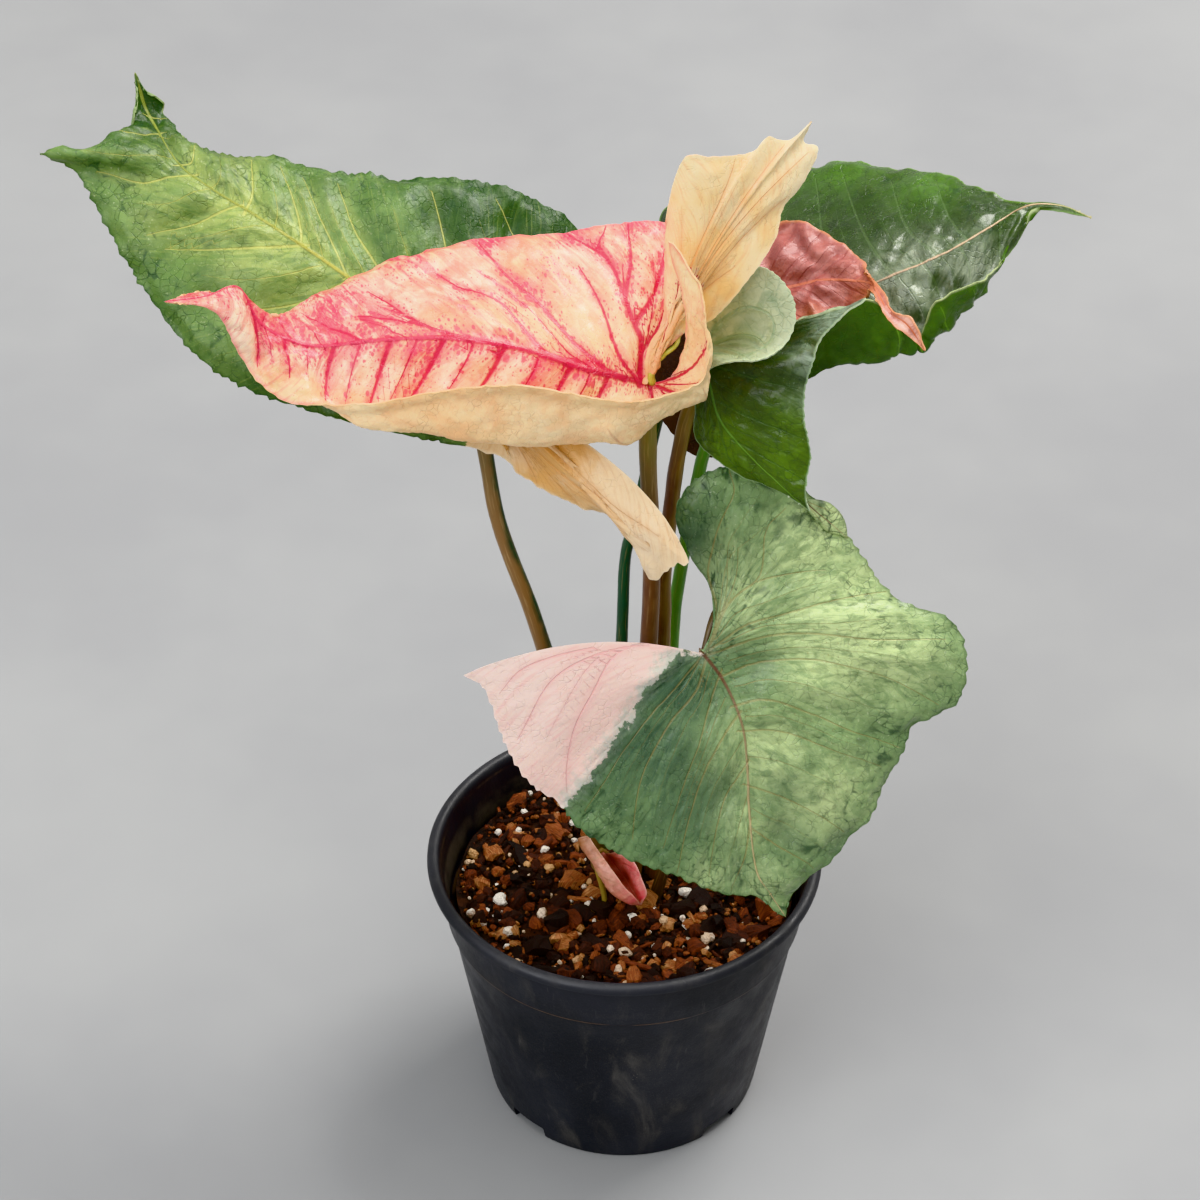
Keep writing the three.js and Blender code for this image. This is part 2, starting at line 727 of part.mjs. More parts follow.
function mixTop() {
  const random = stream(11);
  const sides = 28;
  const positions = [0, 0, MIX_LEVEL];
  const triangles = [];
  MIX_RINGS.slice(1).forEach((radius, k) => {
    for (let i = 0; i < sides; i += 1) {
      const angle = ((i + (k % 2) * 0.5) / sides) * Math.PI * 2;
      const bump = (random() - 0.5) * 2 * MIX_BUMP;
      const fall = k === MIX_RINGS.length - 2 ? -2.5 : 0;
      positions.push(radius * Math.cos(angle), radius * Math.sin(angle), MIX_LEVEL + bump + fall);
    }
  });
  const ring = (k, i) => 1 + k * sides + (i % sides);
  for (let i = 0; i < sides; i += 1) {
    triangles.push(0, ring(0, i), ring(0, i + 1));
  }
  const rings = MIX_RINGS.length - 1;
  for (let k = 0; k < rings - 1; k += 1) {
    for (let i = 0; i < sides; i += 1) {
      const lean = k % 2;
      const [a, b] = [ring(k, i), ring(k, i + 1)];
      const [c, d] = [ring(k + 1, i), ring(k + 1, i + 1)];
      if (lean === 0) {
        triangles.push(a, c, b, b, c, d);
      } else {
        triangles.push(a, c, d, a, d, b);
      }
    }
  }
  const under = positions.length / 3;
  for (let i = 0; i < sides; i += 1) {
    const angle = ((i + ((rings - 1) % 2) * 0.5) / sides) * Math.PI * 2;
    positions.push(MIX_FOOT * Math.cos(angle), MIX_FOOT * Math.sin(angle), FLOOR_TOP + MIX_GAP);
  }
  const centre = positions.length / 3;
  positions.push(0, 0, FLOOR_TOP + MIX_GAP);
  for (let i = 0; i < sides; i += 1) {
    const j = (i + 1) % sides;
    const [a, b] = [ring(rings - 1, i), ring(rings - 1, i + 1)];
    triangles.push(a, under + i, b, b, under + i, under + j);
    triangles.push(centre, under + j, under + i);
  }
  return solid(indexed(positions, triangles));
}

function chips() {
  const random = stream(5);
  const bits = [];
  const spread = (count, geometryFor, reach) => {
    for (let i = 0; i < count; i += 1) {
      const radius = Math.sqrt(random()) * reach;
      const angle = random() * Math.PI * 2;
      const bit = geometryFor();
      bit.rotateX((random() - 0.5) * 1.6);
      bit.rotateY((random() - 0.5) * 1.6);
      bit.rotateZ(random() * Math.PI);
      const rise = MIX_LEVEL + 0.4 + random() * 1.2;
      bit.translate(radius * Math.cos(angle), radius * Math.sin(angle), rise);
      bits.push(solid(bit));
    }
  };
  spread(
    BARK_COUNT,
    () => new THREE.BoxGeometry(5.5 + random() * 4, 3.6 + random() * 2.4, 2 + random() * 1.8),
    44,
  );
  spread(PERLITE_COUNT, () => new THREE.OctahedronGeometry(1.3 + random() * 0.7), 47);
  return bits;
}

function buildMix(holes) {
  const filled = wasm.Manifold.union([mixTop(), ...chips()]);
  const parts = filled.subtract(wasm.Manifold.union(holes)).decompose();
  return parts.sort((a, b) => b.volume() - a.volume())[0];
}

// Crown: the short old stem that the stalks stand round

function buildCrown(extra = 0) {
  const crown = lathe(
    [
      [0, CROWN_FOOT - extra],
      [CROWN_RADIUS * 0.7 + extra, CROWN_FOOT - extra],
      [CROWN_RADIUS + extra, CROWN_FOOT + 6],
      [CROWN_RADIUS * 0.92 + extra, CROWN_TOP - 7],
      [CROWN_RADIUS + extra, CROWN_TOP - 5],
      [CROWN_RADIUS * 0.8 + extra, CROWN_TOP - 1.5],
      [CROWN_RADIUS * 0.4 + extra, CROWN_TOP + extra],
      [0, CROWN_TOP - 0.6 + extra],
    ],
    10,
  );
  crown.translate(CROWN_AT[0], CROWN_AT[1], 0);
  return solid(crown);
}

// Assembly

const group = new THREE.Group();

function add(name, body, colour, roughness) {
  const material = new THREE.MeshStandardMaterial({ color: colour, roughness, metalness: 0 });
  const mesh = new THREE.Mesh(geometryOf(body), material);
  mesh.name = name;
  group.add(mesh);
}

const holes = [];
const grown = LEAVES.map((leaf) => {
  const sheet = solid(blade(leaf.shape, leaf.swell, leaf.swellTowards));
  holes.push(solid(stalk(leaf.stalk, leaf.radii, 14, HOLE_CLEARANCE)));
  return solid(stalk(leaf.stalk, leaf.radii, 14)).add(sheet);
});
const shootStalk = solid(stalk(SHOOT_STALK, SHOOT_RADII, 6));
holes.push(solid(stalk(SHOOT_STALK, SHOOT_RADII, 6, HOLE_CLEARANCE)));
holes.push(buildCrown(HOLE_CLEARANCE));

add('nursery_pot', buildPot(), 0x1b1d20, 0.62);
add('potting_mix', buildMix(holes), 0x3a2218, 0.95);
add('stem_crown', buildCrown(), 0x6b5233, 0.9);
add('new_shoot', shootStalk.add(solid(blade(SHOOT, 0, SWELL_UP))), 0xd9776f, 0.55);
grown.forEach((body, i) => add(LEAVES[i].name, body, LEAVES[i].colour, 0.5));

export default group;
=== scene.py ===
"""A potted syngonium: nursery pot, bark mix, stem crown, young shoot and six variegated leaves.

Metres, +Z up, with the middle of the pot's foot at the origin and the front towards -Y. The tables of the
leaves are in millimetres, and MM brings them to metres. A table is a text of numbers in groups, with a comma
between the groups.
"""

import logging
import math
from dataclasses import dataclass, field
from enum import Enum
from typing import Iterator, Optional, Sequence, Union

import bpy
import numpy as np
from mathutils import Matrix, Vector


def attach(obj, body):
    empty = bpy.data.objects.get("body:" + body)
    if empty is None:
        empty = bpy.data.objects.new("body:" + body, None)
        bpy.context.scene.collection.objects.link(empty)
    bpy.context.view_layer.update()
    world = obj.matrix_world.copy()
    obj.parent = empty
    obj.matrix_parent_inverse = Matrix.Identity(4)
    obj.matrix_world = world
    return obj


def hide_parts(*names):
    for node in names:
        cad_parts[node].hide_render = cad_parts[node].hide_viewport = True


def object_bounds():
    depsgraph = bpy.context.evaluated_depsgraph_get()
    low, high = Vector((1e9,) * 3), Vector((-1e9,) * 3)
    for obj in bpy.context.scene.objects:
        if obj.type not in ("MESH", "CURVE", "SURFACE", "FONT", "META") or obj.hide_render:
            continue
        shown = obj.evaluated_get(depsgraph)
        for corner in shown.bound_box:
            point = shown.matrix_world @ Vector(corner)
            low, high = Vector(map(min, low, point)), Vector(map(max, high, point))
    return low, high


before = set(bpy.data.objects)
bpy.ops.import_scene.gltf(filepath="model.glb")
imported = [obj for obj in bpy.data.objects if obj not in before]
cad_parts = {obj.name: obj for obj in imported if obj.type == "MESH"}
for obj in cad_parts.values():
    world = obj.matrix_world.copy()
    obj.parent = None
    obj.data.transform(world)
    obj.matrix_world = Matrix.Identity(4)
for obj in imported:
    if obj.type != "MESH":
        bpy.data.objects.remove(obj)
cad_low, cad_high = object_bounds()

log = logging.getLogger("syngonium")

MM = 0.001
CHUNK = 3000  # how many points are compared with others at a time
SIDEWAYS_REACH = 2.5  # up to this distance from a line, in millimetres, only the distance across it counts
NEIGHBOUR_GAP = 0.22  # veins of a side that keep within this share of the blade are neighbours
NO_BORDER = -50.0  # the distance to the border, in millimetres, on a blade without one
DEPTH_STEPS = 32  # the levels of thickness of a blade
Point = tuple[float, float, float]


class Side(Enum):
    """The two halves of a blade, on either side of its midrib."""

    LEFT = "left"
    RIGHT = "right"


LEFT, RIGHT = Side.LEFT, Side.RIGHT


@dataclass(frozen=True)
class Row:
    """One line across half a blade, from the midrib to the margin.

    Args:
        at: the fraction of the midrib that the row starts from; rows at 0 fan out of the stalk's end.
        edge: the point on the margin.
        fold: the point half way across, where the half is rolled or folded.
    """

    at: float
    edge: Point
    fold: Optional[Point] = None


@dataclass(frozen=True)
class Outline:
    """The midrib and the rows of both halves of a blade."""

    spine: tuple[Point, ...]
    left: tuple[Row, ...]
    right: tuple[Row, ...]


@dataclass(frozen=True)
class Vein:
    """A vein as places on one half: how far along its rows, and how far from midrib (0) to margin (1)."""

    side: Side
    path: tuple[tuple[float, float], ...]
    width: float = 0.6

    def track(self, count: int, first: float = 0.0, last: float = 1.0) -> np.ndarray:
        """That many places along the vein, between these fractions of it."""
        return through(np.array(self.path, float), np.linspace(first, last, count))


@dataclass(frozen=True)
class Patch:
    """A soft round patch on a blade, by its place, radius in millimetres and strength."""

    side: Side
    along: float
    across: float
    radius: float
    strength: float = 1.0


def groups(table: str) -> list[tuple[float, ...]]:
    """The groups of numbers in a table."""
    return [tuple(map(float, group.split())) for group in table.split(",")]


def outline(spine: str, left: str, right: str) -> Outline:
    """An outline from its tables.

    Args:
        spine: the points of the midrib.
        left, right: for each row its place on the midrib, its edge and, where it has one, its fold.

    Returns:
        The outline.
    """
    halves = (
        tuple(Row(row[0], row[1:4], row[4:] or None) for row in groups(half)) for half in (left, right)
    )
    return Outline(tuple(groups(spine)), *halves)


def sided(parts: tuple[Union[Side, str], ...]) -> Iterator[tuple[Side, tuple[float, ...]]]:
    """The groups of tables that each follow their side, and the side with each group."""
    return ((side, group) for side, table in zip(parts[::2], parts[1::2]) for group in groups(table))


def veins(*parts: Union[Side, str]) -> tuple[Vein, ...]:
    """Veins from a side and its table, and so on; a group is a vein's width and then its path."""
    return tuple(Vein(side, tuple(zip(row[1::2], row[2::2])), row[0]) for side, row in sided(parts))


def spots(*parts: Union[Side, str]) -> tuple[Patch, ...]:
    """Patches from a side and its table, and so on; a group is a patch's along, across, radius and strength."""
    return tuple(Patch(side, *row) for side, row in sided(parts))


LEFT_GREEN = outline(
    spine="-44 8 260, -61 18 273, -77 26 282, -90 33 288, -105 41 294, -124 52 301, -135 70 309, -139 78 317",
    left="""0 16 -22 224 -6 -14 250, 0 17 -24 220 -8 -16 248, 0 14 -25 221 -10 -17 247, 0 11 -25 218 -11 -18 246,
    0 8 -25 215 -12 -18 246, 0 6 -24 216 -12 -18 245, 0 9 -24 217 -13 -18 245, 0 10 -24 220 -14 -18 245,
    0 9 -23 225 -15 -17 244, 0 6 -22 228 -16 -16 244, 0 2 -20 230 -18 -15 244, 0 -4 -18 232 -21 -13 244,
    0 -10 -16 233 -24 -11 245, 0 -16 -14 234 -27 -9 246, 0 -23 -12 237 -30 -7 247, 0 -30 -9 240 -34 -5 249,
    0 -35 -6 244 -37 -3 252, 0 -52 2 243, .05 -71 -3 252, .14 -89 1 255, .26 -107 5 260, .36 -121 12 267,
    .48 -135 26 279, .58 -144 37 289, .66 -154 50 301, .72 -164 51 307, .8 -149 56 305, .87 -141 62 306,
    .93 -138 68 310, 1 -139 78 317""",
    right="""0 -31 10 262, 0 -16 24 261, 0 -6 40 265, 0 -8 50 273, 0 -15 54 281, .02 -27 57 288, .08 -41 58 293,
    .18 -57 58 295, .3 -74 58 296, .42 -88 59 298, .54 -103 62 300, .66 -116 61 301, .78 -124 62 305, .87 -129 70 307,
    .94 -135 73 312, 1 -139 78 317""",
)

FRONT_PINK = outline(
    spine="""6 0 265, -11 -2 271, -30 -3 279, -49 -4 283, -69 -5 283, -86 -6 282, -99 -6 289, -105 -4 300,
    -114 -9 300, -124 -14 302""",
    left="""0 11 -6 316 15.6 -2 278, 0 13 -8 315 18 -6 281, 0 18 -13 308 20 -10 280, 0 21 -18 297 21 -13 273,
    0 21 -20 284 18 -13 268, 0 17 -21 279 10 -14 262, .03 4 -23 276 -2 -17 257, .12 -13 -26 280 -18 -20 257,
    .22 -30 -28 285 -37 -22 259, .36 -49 -27 282 -56 -22 263, .5 -68 -25 277 -75 -21 266, .62 -89 -20 272 -89 -14 277,
    .72 -99 -17 277 -99 -12 282, .8 -105 -15 286 -103 -11 292, .88 -111 -13 298 -111 -12 299, 1 -124 -14 302""",
    right="""0 15 1 281 8 1 272, 0 24 0 287 9.4 1 280.6, 0 33 1 299 15.8 .5 291, 0 40 4 310 18.8 0 295,
    0 42 7 318 22 0 300, 0 48 9 326 23 0 304, 0 51 11 334 23 0 307, 0 47 12 336 23 0 308, 0 49 12 342 23 0 309,
    0 43 11 337 22 0 310, 0 37 9 339 20 -1 311, 0 33 8 335 19 -1 311, 0 23 4 336 17 -1 310, 0 15 2 337 14 0 305,
    0 11 4 322 12 3 294, 0 11 14 304 12 12 284, 0 18 33 293 13 20 282, 0 10 38 293 10 20 280, .02 0 38 293,
    .1 -19 37 290, .22 -40 35 289, .36 -60 29 288, .5 -80 22 283, .62 -90 12 283, .72 -96 2 285, .8 -103 -2 294,
    .88 -114 -8 301, 1 -124 -14 302""",
)

RIGHT_DARK = outline(
    spine="31 25 260, 49 30 268, 70 33 276, 89 37 283, 102 44 287, 113 52 289, 123 52 289, 131 46 289",
    left="""0 22 25 264, 0 12 25 264, 0 5 24 257, 0 7 23 243, 0 13 23 231, 0 21 22 223, 0 34 19 231,
    0 48 15 267 46 18 250, .05 57 13 278 59 15 260, .15 67 14 283 71 15 262, .25 75 15 276 79 17 265,
    .34 81 16 268 83 19 266, .42 84 15 278 89 22 269, .52 91 18 284 96 26 273, .62 99 26 283 102 32 277,
    .7 107 38 281, .77 112 46 284, .82 114 50 288, .9 120 51 288, 1 131 46 289""",
    right="""0 25 40 259, 0 19 64 258, 0 11 86 257, 0 11 95 258, 0 19 100 262, 0 35 100 267, .05 51 97 273,
    .15 66 92 278, .27 81 82 282, .4 92 73 285, .55 102 62 287, .72 112 54 289, .82 118 54 289, .9 124 52 289,
    1 131 46 289""",
)

SMALL_SALMON = outline(
    spine="29 32 271, 43 34 273, 56 33 277, 67 27 280, 69 19 283, 72 10 282, 77 5 281, 82 1 275",
    left="""0 29 26 269, 0 36 22 270, .1 46 21 271, .22 52 21 271, .34 60 22 273, .44 66 23 278, .52 67 22 281,
    .62 69 14 284, .75 71 8 282, .88 75 3 281, 1 82 1 275""",
    right="""0 32 42 273, 0 38 50 279, .1 46 52 284, .22 55 48 283, .34 61 43 281, .44 66 36 280, .52 68 27 282,
    .62 71 17 284, .75 73 9 283, .88 78 4 283, 1 82 1 275""",
)

DROOPING = outline(
    spine="21 10 269, 23 5 261, 26 0 252, 34 -5 244, 43 -10 237, 51 -14 231",
    left="""0 22 12 287, 0 30 10 297, 0 39 8 297, 0 45 5 291, 0 46 2 284, 0 43 -1 278, 0 36 -4 275, 0 26 -4 274,
    .04 19 6 261, .16 19 6 251, .32 19 4 243, .46 24 0 239, .6 33 -4 235, .76 41 -9 235, .9 47 -12 233,
    1 51 -14 231""",
    right="""0 30 13 271 26 14 268, 0 45 13 276 33 14 270, 0 57 9 283 39 12 274, 0 65 4 291 43 10 278,
    0 59 2 287 40 9 275, 0 54 0 281 38 8 272, .05 51 -3 274, .18 49 -5 266, .34 49 -8 258, .5 51 -10 248,
    .68 50 -12 240, .85 50 -14 235, 1 51 -14 231""",
)

HALF_MOON = outline(
    spine="22 -22 186, 28 -25 178, 33 -30 167, 35 -35 153, 36 -40 137, 38 -43 122, 42 -43 113, 47 -44 104",
    left="""0 -46 -28 183 -12 -27 194, 0 -40 -30 179 -10 -30 189, 0 -36 -34 168 -7 -33 182, 0 -32 -37 159 -5 -34 177,
    0 -26 -40 151 -2 -34 172, 0 -19 -41 146 1 -35 168, 0 -14 -43 139 5 -35 164, .05 -4 -44 130, .16 7 -44 124,
    .3 16 -44 120, .46 26 -44 114, .6 33 -43 112, .78 39 -43 111, .92 44 -44 106, 1 47 -44 104""",
    right="""0 17 -8 212 25 -15 198, 0 14 -4 225 25 -13 202, 0 22 1 233 27 -12 207, 0 35 3 234 31 -12 209,
    0 50 3 226 36 -13 206, 0 63 -1 212 43 -15 200, 0 76 -6 195 48 -17 194, .05 93 -8 187, .12 98 -12 178,
    .2 95 -17 163, .3 84 -21 158, .42 79 -25 148, .56 73 -30 135, .7 63 -35 123, .84 52 -40 114, .93 48 -42 109,
    1 47 -44 104""",
)

SHOOT = outline(
    spine="-5.6 0 89, -2.2 -3 86, .8 -7 83.9, 2.9 -11 82.7, 4.1 -14 82.6, 5 -16 82.9",
    left="""0 -10.4 -4 99.6 -13.1 -3 97.1, 0 -9.8 -5 98.5 -12.8 -4 95.5, .2 -6.5 -9 95.2 -9.8 -8 93.1,
    .4 -3.2 -13 93.2 -6.8 -12 89.8, .6 -.2 -15.5 89.8 -3.8 -15 86.9, .8 2.8 -17 87.1 .1 -17 85, 1 5 -16 82.9""",
    right="""0 -2.6 -4 93.1 -4.1 -2 90.8, 0 -1.4 -5 93.2 -3.2 -4 91, .2 1 -8 95.1 .2 -7 91.7,
    .4 3.7 -11 93.8 2.5 -11 90.9, .6 5.5 -14 90.5 4.3 -14 88, .8 6.7 -16 87 5.6 -16 85.3, 1 5 -16 82.9""",
)

CURL = outline(
    spine="50 -1 225, 53 -3 223, 56 -3 220, 59 -3 217, 63 -2 212",
    left="0 52 -1 225, 0 54 -1 225, .3 57 -1 224, .6 60 -1 221, .8 62 -1 217, 1 63 -2 212",
    right="0 51 -2 224, 0 52 -3 222, .3 54 -3 219, .6 57 -3 215, .8 60 -2 213, 1 63 -2 212",
)

FRONT_PINK_VEINS = veins(
    RIGHT, """1.1 .658 0 .658 .22 .666 .32 .673 .49 .681 .73 .697 .94, .8 .673 .49 .666 .7 .666 .94,
    .6 .681 .73 .685 .85 .681 .95, .9 .666 .32 .642 .54 .627 .82, .6 .654 .18 .634 .3 .611 .5 .603 .75, .7 .666 0 .681
    .13 .689 .41 .697 .68, 1 .681 0 .697 .05 .712 .18 .728 .47 .736 .65 .743 .92, .7 .712 .02 .728 .04 .736 .18 .743
    .37 .759 .51 .767 .66, .8 .751 0 .767 .04 .782 .15 .806 .36, .7 .767 .01 .782 .18 .798 .6,
    .7 .806 0 .813 .15 .837 .5, .6 .844 0 .852 .2 .868 .6, .5 .891 0 .899 .3 .907 .7""", LEFT,
    """.8 .431 0 .44 .12 .459 .25, .9 .477 0 .487 .12 .505 .3, .9 .543 0 .552 .12 .571 .3, .9 .589 0 .599 .12 .617 .3,
    .8 .627 0 .636 .14 .645 .3, .8 .673 0 .683 .14 .692 .35, .7 .729 0 .739 .2 .748 .5, .6 .795 0 .804 .3 .813 .6,
    .6 .095 .06 .113 .4 .16 .8, .6 .197 .06 .235 .4 .272 .8, .6 .319 .06 .365 .4 .421 .8""", RIGHT,
    """.35 0 .25 .05 .5 .09 .8, .4 .08 .1 .13 .4 .17 .92, .4 .18 .1 .21 .4 .23 .94, .4 .28 .1 .3 .4 .33 .94,
    .4 .36 .1 .39 .4 .42 .92, .6 .5 .04 .53 .3 .56 .6 .565 .9""", LEFT, ".5 0 .05 .03 .2 .1 .32"
)

LEFT_GREEN_VEINS = veins(
    LEFT, """.8 .697 0 .703 .3 .717 .52 .738 .74, .8 .745 0 .759 .41 .772 .7, .7 .8 0 .786 .42 .786 .74,
    .7 .848 0 .821 .49 .828 .8, .8 .634 0 .662 .47 .676 .8, .8 .586 0 .614 .4 .628 .8, .5 .897 0 .897 .4 .91 .8""",
    RIGHT, """.8 .45 0 .49 .18 .53 .41 .56 .75, .6 .53 0 .56 .2 .59 .45 .61 .75, .8 .61 0 .61 .13 .62 .37 .64 .78,
    .8 .69 0 .68 .3 .68 .78, .6 .77 0 .76 .3 .77 .75, .5 .85 0 .85 .3 .86 .75, .9 .36 0 .4 .34 .45 .82,
    .8 .32 .02 .26 .46 .37 .88, .7 .2 .05 .16 .46 .22 .88""", LEFT, """.5 .3 .06 .33 .4 .31 .7 .26 .92,
    .35 .2 .2 .14 .5 .06 .85, .35 .4 .3 .42 .6 .43 .92, .35 .46 .3 .48 .6 .49 .92"""
)


RIGHT_DARK_VEINS = veins(
    RIGHT, """.8 .47 0 .44 .4 .4 .86, .8 .55 0 .5 .4 .46 .86, .8 .6 0 .55 .39 .5 .84, .8 .65 0 .6 .41 .56 .84,
    .7 .69 0 .66 .42 .63 .86, .6 .76 0 .74 .42 .72 .86, .8 .3 .05 .22 .4 .15 .86, .8 .38 .05 .33 .4 .3 .86""", LEFT,
    """.7 .463 0 .481 .4 .499 .85, .7 .535 0 .553 .3 .579 .85, .7 .606 0 .624 .2 .651 .91, .6 .66 0 .678 .2 .705 .9,
    .6 .732 0 .749 .3 .776 .9, .7 .356 .1 .302 .5 .248 .9"""
)

SMALL_SALMON_VEINS = veins(
    LEFT, ".7 .14 0 .2 .4 .26 .9, .7 .26 0 .32 .4 .38 .9, .6 .38 0 .44 .4 .5 .9, .5 .5 0 .56 .5 .6 .9", RIGHT,
    """.7 .12 .05 .15 .4 .16 .9, .7 .22 0 .27 .4 .3 .9, .7 .32 0 .38 .4 .42 .9, .6 .43 0 .48 .4 .53 .9,
    .5 .54 0 .59 .5 .63 .9"""
)

DROOPING_VEINS = veins(
    LEFT, """.6 .05 .05 .1 .35 .16 .62 .26 .78 .4 .72 .48 .4, .5 .2 .05 .22 .3 .27 .55 .34 .8,
    .5 .33 .05 .36 .35 .4 .7 .42 .9, .6 .58 0 .62 .4 .66 .85, .6 .7 0 .74 .4 .78 .85""", RIGHT,
    """.6 .14 .05 .2 .4 .24 .85, .6 .35 .05 .38 .4 .36 .85, .6 .52 0 .56 .4 .58 .85, .6 .64 0 .68 .4 .71 .85,
    .5 .76 0 .8 .4 .83 .85"""
)

HALF_MOON_VEINS = veins(
    RIGHT, """.8 .22 .04 .1 .28 .03 .59 .1 .68 .16 .85 .16 .98, .5 .17 .22 .2 .41 .18 .6, .6 .18 .23 .26 .49 .23 .72
    .24 .86, .8 .25 .05 .2 .23 .25 .44 .29 .62 .32 .78, .8 .31 .04 .31 .24 .35 .46 .36 .72 .37 .96, .8 .39 .03 .39 .28
    .41 .49 .45 .67 .47 .9, .7 .5 0 .47 .14 .47 .33 .51 .56 .56 .9, .7 .58 0 .56 .16 .59 .34 .63 .61 .66 .92,
    .6 .63 0 .63 .2 .66 .51 .69 .85, .6 .71 0 .73 .29 .78 .82, .6 .76 0 .79 .24 .83 .7""", LEFT, """.8 .46 0 .5 .13
    .47 .34 .48 .61 .52 .88, .6 .54 0 .56 .3 .58 .85, .7 .62 0 .6 .32 .61 .66 .63 .95, .6 .69 0 .67 .43 .69 .86,
    .6 .77 0 .78 .43 .76 .88, .7 .4 .02 .38 .3 .42 .9, .7 0 .06 .01 .28 .11 .48 .22 .68 .34 .91,
    .6 0 .2 .05 .49 .1 .73 .17 .92, .5 .02 .48 .04 .76 .08 .92"""
)


def through(points: np.ndarray, places: np.ndarray) -> np.ndarray:
    """A smooth curve through evenly spaced points.

    Args:
        points: the points, one a row.
        places: fractions of the way along, from 0 to 1.

    Returns:
        One point for each place.
    """
    last = len(points) - 1
    place = np.clip(np.atleast_1d(places), 0, 1) * last
    i = np.minimum(place.astype(int), last - 1)
    w = (place - i)[:, None]
    more = np.vstack([2 * points[0] - points[1], points, 2 * points[-1] - points[-2]])
    before, start, end, after = more[i], more[i + 1], more[i + 2], more[i + 3]
    leave, arrive = (end - before) / 2, (after - start) / 2
    return (
        start * (2 * w**3 - 3 * w**2 + 1)
        + leave * (w**3 - 2 * w**2 + w)
        + end * (-2 * w**3 + 3 * w**2)
        + arrive * (w**3 - w**2)
    )


def run_of(points: np.ndarray) -> np.ndarray:
    """How far each point lies along the line through all of them."""
    return np.concatenate([[0], np.cumsum(np.linalg.norm(np.diff(points, axis=0), axis=1))])


def chunks(count: int) -> Iterator[slice]:
    """Slices that take so many points a part at a time."""
    return (slice(begin, begin + CHUNK) for begin in range(0, count, CHUNK))


def rotation(axis: int, angle: float) -> np.ndarray:
    """The matrix that turns by the angle round x (0), y (1) or z (2)."""
    turn, a, b = np.eye(3), (axis + 1) % 3, (axis + 2) % 3
    turn[a, a] = turn[b, b] = np.cos(angle)
    turn[b, a], turn[a, b] = np.sin(angle), -np.sin(angle)
    return turn


def evenly(points: np.ndarray, count: int) -> np.ndarray:
    """The curve through the points, as that many points at equal steps along it."""
    fine = through(points, np.linspace(0, 1, 400))
    run = run_of(fine)
    wanted = np.linspace(0, run[-1], count)
    return np.stack([np.interp(wanted, run, fine[:, k]) for k in range(3)], 1)


def unit(vectors: np.ndarray) -> np.ndarray:
    """The vectors brought to length 1."""
    return vectors / np.maximum(np.linalg.norm(vectors, axis=-1, keepdims=True), 1e-9)


def waves(points: np.ndarray, size: float, seed: int) -> np.ndarray:
    """A smooth repeatable unevenness.

    Args:
        points: the places, one a row.
        size: the distance from crest to crest, in the same unit.
        seed: another number gives another pattern.

    Returns:
        A value for each place, mostly between -1 and 1.
    """
    draw = np.random.default_rng(seed)
    turn = unit(draw.normal(size=(18, 3))) * (2 * np.pi / size) * draw.uniform(0.6, 1.5, (18, 1))
    return np.sin(points @ turn.T + draw.uniform(0, 2 * np.pi, 18)).sum(1) / 6


def ease(value: np.ndarray, low: float, high: float) -> np.ndarray:
    """0 at low, 1 at high and a smooth step between them."""
    x = np.clip((value - low) / (high - low), 0, 1)
    return x * x * (3 - 2 * x)


def deselect() -> None:
    """Leaves nothing selected."""
    if bpy.context.object and bpy.context.object.mode != "OBJECT":
        bpy.ops.object.mode_set(mode="OBJECT")
    bpy.ops.object.select_all(action="DESELECT")


def pick(*pieces: bpy.types.Object) -> bpy.types.Object:
    """Selects these objects alone and makes the first one active."""
    deselect()
    for piece in pieces:
        piece.select_set(True)
    bpy.context.view_layer.objects.active = pieces[0]
    return pieces[0]


def edit(piece: bpy.types.Object, select: str = "SELECT") -> None:
    """Opens the piece in edit mode with everything selected, or nothing."""
    pick(piece)
    bpy.ops.object.mode_set(mode="EDIT")
    bpy.ops.mesh.select_all(action=select)


def close_edit() -> None:
    """Goes back to object mode."""
    bpy.ops.object.mode_set(mode="OBJECT")


def merge_doubles(piece: bpy.types.Object, distance: float = 0.00002, outward: bool = False) -> None:
    """Merges points that coincide, and can turn all faces outwards afterwards."""
    edit(piece)
    bpy.ops.mesh.remove_doubles(threshold=distance)
    if outward:
        bpy.ops.mesh.normals_make_consistent(inside=False)
    close_edit()


def apply(piece: bpy.types.Object, kind: str, **settings: object) -> None:
    """Adds a modifier with these settings and applies it."""
    pick(piece)
    bpy.ops.object.modifier_add(type=kind)
    modifier = piece.modifiers[-1]
    for name, value in settings.items():
        setattr(modifier, name, value)
    bpy.ops.object.modifier_apply(modifier=modifier.name)


def smooth(piece: bpy.types.Object, angle: float = 50) -> None:
    """Shades the piece smooth, with edges sharper than the angle kept crisp."""
    pick(piece)
    bpy.ops.object.shade_smooth_by_angle(angle=math.radians(angle))


def store(piece: bpy.types.Object, name: str, values: np.ndarray) -> None:
    """Keeps three numbers for each point of the mesh, for its material to read."""
    layer = piece.data.attributes.new(name=name, type="FLOAT_VECTOR", domain="POINT")
    layer.data.foreach_set("vector", np.ascontiguousarray(values, np.float32).ravel())


def points_of(piece: bpy.types.Object) -> np.ndarray:
    """The mesh's points, one a row."""
    flat = np.empty(len(piece.data.vertices) * 3)
    piece.data.vertices.foreach_get("co", flat)
    return flat.reshape(-1, 3)


def move_points(piece: bpy.types.Object, points: np.ndarray) -> None:
    """Puts the mesh's points at these places."""
    piece.data.vertices.foreach_set("co", np.ascontiguousarray(points, np.float32).ravel())
    piece.data.update()


